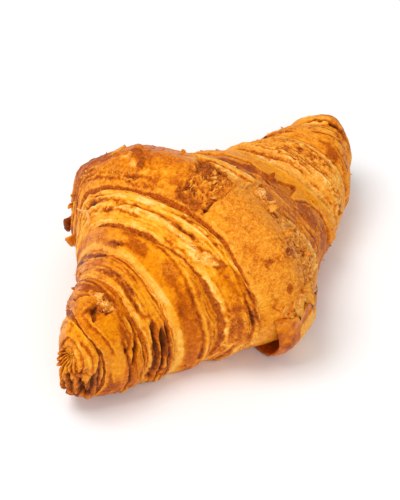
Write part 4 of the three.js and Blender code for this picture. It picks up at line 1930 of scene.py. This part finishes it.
        0.31, 0.68,
        blotch=0.08,
        pits=0.14,
        grain=0.4,
        grain_stretch=1.2,
        sheets=24,
        strokes=(
            Stroke(((41.7, 6), (41.9, 15), (42.9, 24)), 0.3, -0.25, 0.35, ragged=0.6),
            Stroke(((43.2, 8), (43.4, 17), (44.4, 24)), 0.3, -0.2, 0.3, ragged=0.6),
            Stroke(((46.9, -8), (47.7, 3), (49, 14), (50.7, 26), (52, 37), (54.2, 49)), 0.6, -0.5, 0.4,
                   ragged=0.5),
        ),
        patches=(
            Patch(49, 104, 5, 14, lift=-1.2, soft=2.5, ragged=0.5),
            Patch(50, 8, 2.6, 14, turn=-8, bake=0.44, dry=0.6, crumb=0.35, ragged=1.0),
            Patch(46, -25, 4, 8, bake=0.36, dry=0.6),
            Patch(48, 70, 4, 6, bake=0.36, dry=0.6, crumb=0.2),
        ),
    ),
    "turn_f2_f3": TurnLook(
        0.38, 0.35,
        strokes=(
            Stroke(((59.5, 4), (62, 20), (64.5, 40), (67.5, 60)), 0.4, -0.5, 0.4),
        ),
        patches=(
            Patch(60, 95, 3.5, 10, lift=0.3, soft=2.5, ragged=0.4),
            Patch(58.2, 37, 1.8, 3.6, bake=0.74, dry=0.4),
            Patch(57, 5, 1.6, 6, bake=0.36, dry=0.6),
        ),
    ),
    "far_tip": TurnLook(
        0.3, 0.3,
        strokes=(
            Stroke(((66, 6), (68.5, 20), (71, 45), (73, 70)), 0.5, -0.5, 0.35),
        ),
        patches=(
            Patch(72, 20, 3, 6, bake=0.5, dry=0.5, crumb=0.2),
        ),
    ),
}


@dataclass
class Roll:
    """The roll of dough: ten turns from the near tip to the far one."""

    def turns(self) -> list[Turn]:
        """Lists the turns.

        Returns:
            Each turn from the near tip on, with the lip that covers it and its own.
        """
        near, far = Facing.NEAR, Facing.FAR
        return [
            Tip("near_tip", LIPS["e"], LIPS["near_end"], near, LOOKS["near_tip"], 1, open_end=True),
            Turn("turn_d_e", LIPS["d"], LIPS["e"], near, LOOKS["turn_d_e"], 2),
            Turn("turn_c_d", LIPS["c"], LIPS["d"], near, LOOKS["turn_c_d"], 3),
            Turn("turn_b_c", LIPS["b"], LIPS["c"], near, LOOKS["turn_b_c"], 4),
            Turn("turn_a_b", LIPS["a"], LIPS["b"], near, LOOKS["turn_a_b"], 5),
            Turn("middle_turn", LIPS["f0"], LIPS["a"], near, LOOKS["middle_turn"], 6, middle=True),
            Turn("turn_f0_f1", LIPS["f0"], LIPS["f1"], far, LOOKS["turn_f0_f1"], 7, swell=1.5),
            Turn("turn_f1_f2", LIPS["f1"], LIPS["f2"], far, LOOKS["turn_f1_f2"], 8, swell=1.4),
            Turn("turn_f2_f3", LIPS["f2"], LIPS["f3"], far, LOOKS["turn_f2_f3"], 9, swell=1.2),
            Tip("far_tip", LIPS["f3"], LIPS["far_end"], far, LOOKS["far_tip"], 10, open_end=True, swell=1.4,
                bulge=2),
        ]

    def build(self, material: bpy.types.Material) -> list[bpy.types.Object]:
        """Makes every turn, the tail and the flakes, and dresses them.

        Args:
            material: The crust's material.

        Returns:
            The pieces.
        """
        pieces = []
        turns = self.turns()
        for turn in turns:
            piece = turn.build()
            piece.data.materials.append(material)
            pieces.append(piece)
        pieces.append(Tail().build(material))
        pieces.append(FlakeField().build(turns, material))
        for piece in pieces:
            log.info("%s: %d faces", piece.name, len(piece.data.polygons))
        return pieces


@dataclass(frozen=True)
class Lamp:
    """A square soft lamp that points at the croissant, with its place and its side in metres."""

    name: str
    place: tuple[float, float, float]
    side: float
    watts: float


@dataclass
class Studio:
    """A white table, soft lamps and the camera at the photograph's angle.

    The camera looks at target_mm from an azimuth and an elevation in degrees, and its aim is then moved
    right and up in the picture. table_half is in metres, and surroundings is how strong their light is.
    """

    azimuth: float = -51.6
    elevation: float = 43.4
    distance_mm: float = 700
    target_mm: tuple[float, float, float] = (0, 0, 25)
    aim_right_mm: float = -1.48
    aim_up_mm: float = -3.45
    lens_mm: float = 146.2
    sensor_mm: float = 36
    table_half: float = 1.5
    surroundings: float = 0.62
    lamps: tuple[Lamp, ...] = (
        Lamp("key_softbox", (-0.3, 0.25, 1.1), 0.6, 7.4),
        Lamp("front_fill", (-0.9, -0.8, 0.7), 0.9, 4.5),
    )

    def camera(self) -> None:
        """Sets the camera up."""
        a, e = math.radians(self.azimuth), math.radians(self.elevation)
        back = Vector((math.sin(a) * math.cos(e), -math.cos(a) * math.cos(e), math.sin(e)))
        right = Vector((math.cos(a), math.sin(a), 0))
        up = back.cross(right)
        aim = Vector(self.target_mm) + right * self.aim_right_mm + up * self.aim_up_mm
        data = bpy.data.cameras.new("camera")
        data.sensor_width = self.sensor_mm
        data.lens = self.lens_mm
        camera = bpy.data.objects.new("camera", data)
        camera.location = (aim + back * self.distance_mm) * MM
        camera.rotation_mode = "QUATERNION"
        camera.rotation_quaternion = (-back).to_track_quat("-Z", "Y")
        data.clip_start, data.clip_end = 0.01, 20
        bpy.context.scene.collection.objects.link(camera)
        bpy.context.scene.camera = camera

    def hang(self, lamp: Lamp) -> None:
        """Adds a lamp.

        Args:
            lamp: The lamp.
        """
        data = bpy.data.lights.new(lamp.name, "AREA")
        data.size = lamp.side
        data.energy = lamp.watts
        light = bpy.data.objects.new(lamp.name, data)
        light.location = lamp.place
        light.rotation_mode = "QUATERNION"
        light.rotation_quaternion = (-Vector(lamp.place)).to_track_quat("-Z", "Y")
        bpy.context.scene.collection.objects.link(light)

    def floor(self) -> None:
        """Adds the white table."""
        half = self.table_half
        corners = [(-half, -half, 0), (half, -half, 0), (half, half, 0), (-half, half, 0)]
        mesh = bpy.data.meshes.new("table_top")
        mesh.from_pydata(corners, [], [(0, 1, 2, 3)])
        table = bpy.data.objects.new("table_top", mesh)
        # Matt white paint, which the eye sees as an even pale ground with no highlight.
        material = bpy.data.materials.new("white_table")
        material.use_nodes = True
        shader = material.node_tree.nodes["Principled BSDF"]
        shader.inputs["Base Color"].default_value = linear("#f7f7f7")
        shader.inputs["Roughness"].default_value = 0.9
        mesh.materials.append(material)
        bpy.context.scene.collection.objects.link(table)

    def light(self) -> None:
        """Adds the lamps and the white surroundings."""
        for lamp in self.lamps:
            self.hang(lamp)
        world = bpy.data.worlds.new("studio")
        world.use_nodes = True
        background = world.node_tree.nodes["Background"]
        background.inputs["Color"].default_value = (1, 1, 1, 1)
        background.inputs["Strength"].default_value = self.surroundings
        bpy.context.scene.world = world
        bpy.context.scene.view_settings.view_transform = "Standard"


def main() -> None:
    """Builds the croissant and the studio."""
    logging.basicConfig(level=logging.INFO, format="%(message)s")
    studio = Studio()
    studio.camera()
    studio.floor()
    studio.light()
    crust = crust_material(Finish("egg_washed_crust"))
    for piece in Roll().build(crust):
        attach(piece, BODY)
        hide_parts(NODE)


if __name__ == "__main__":
    main()
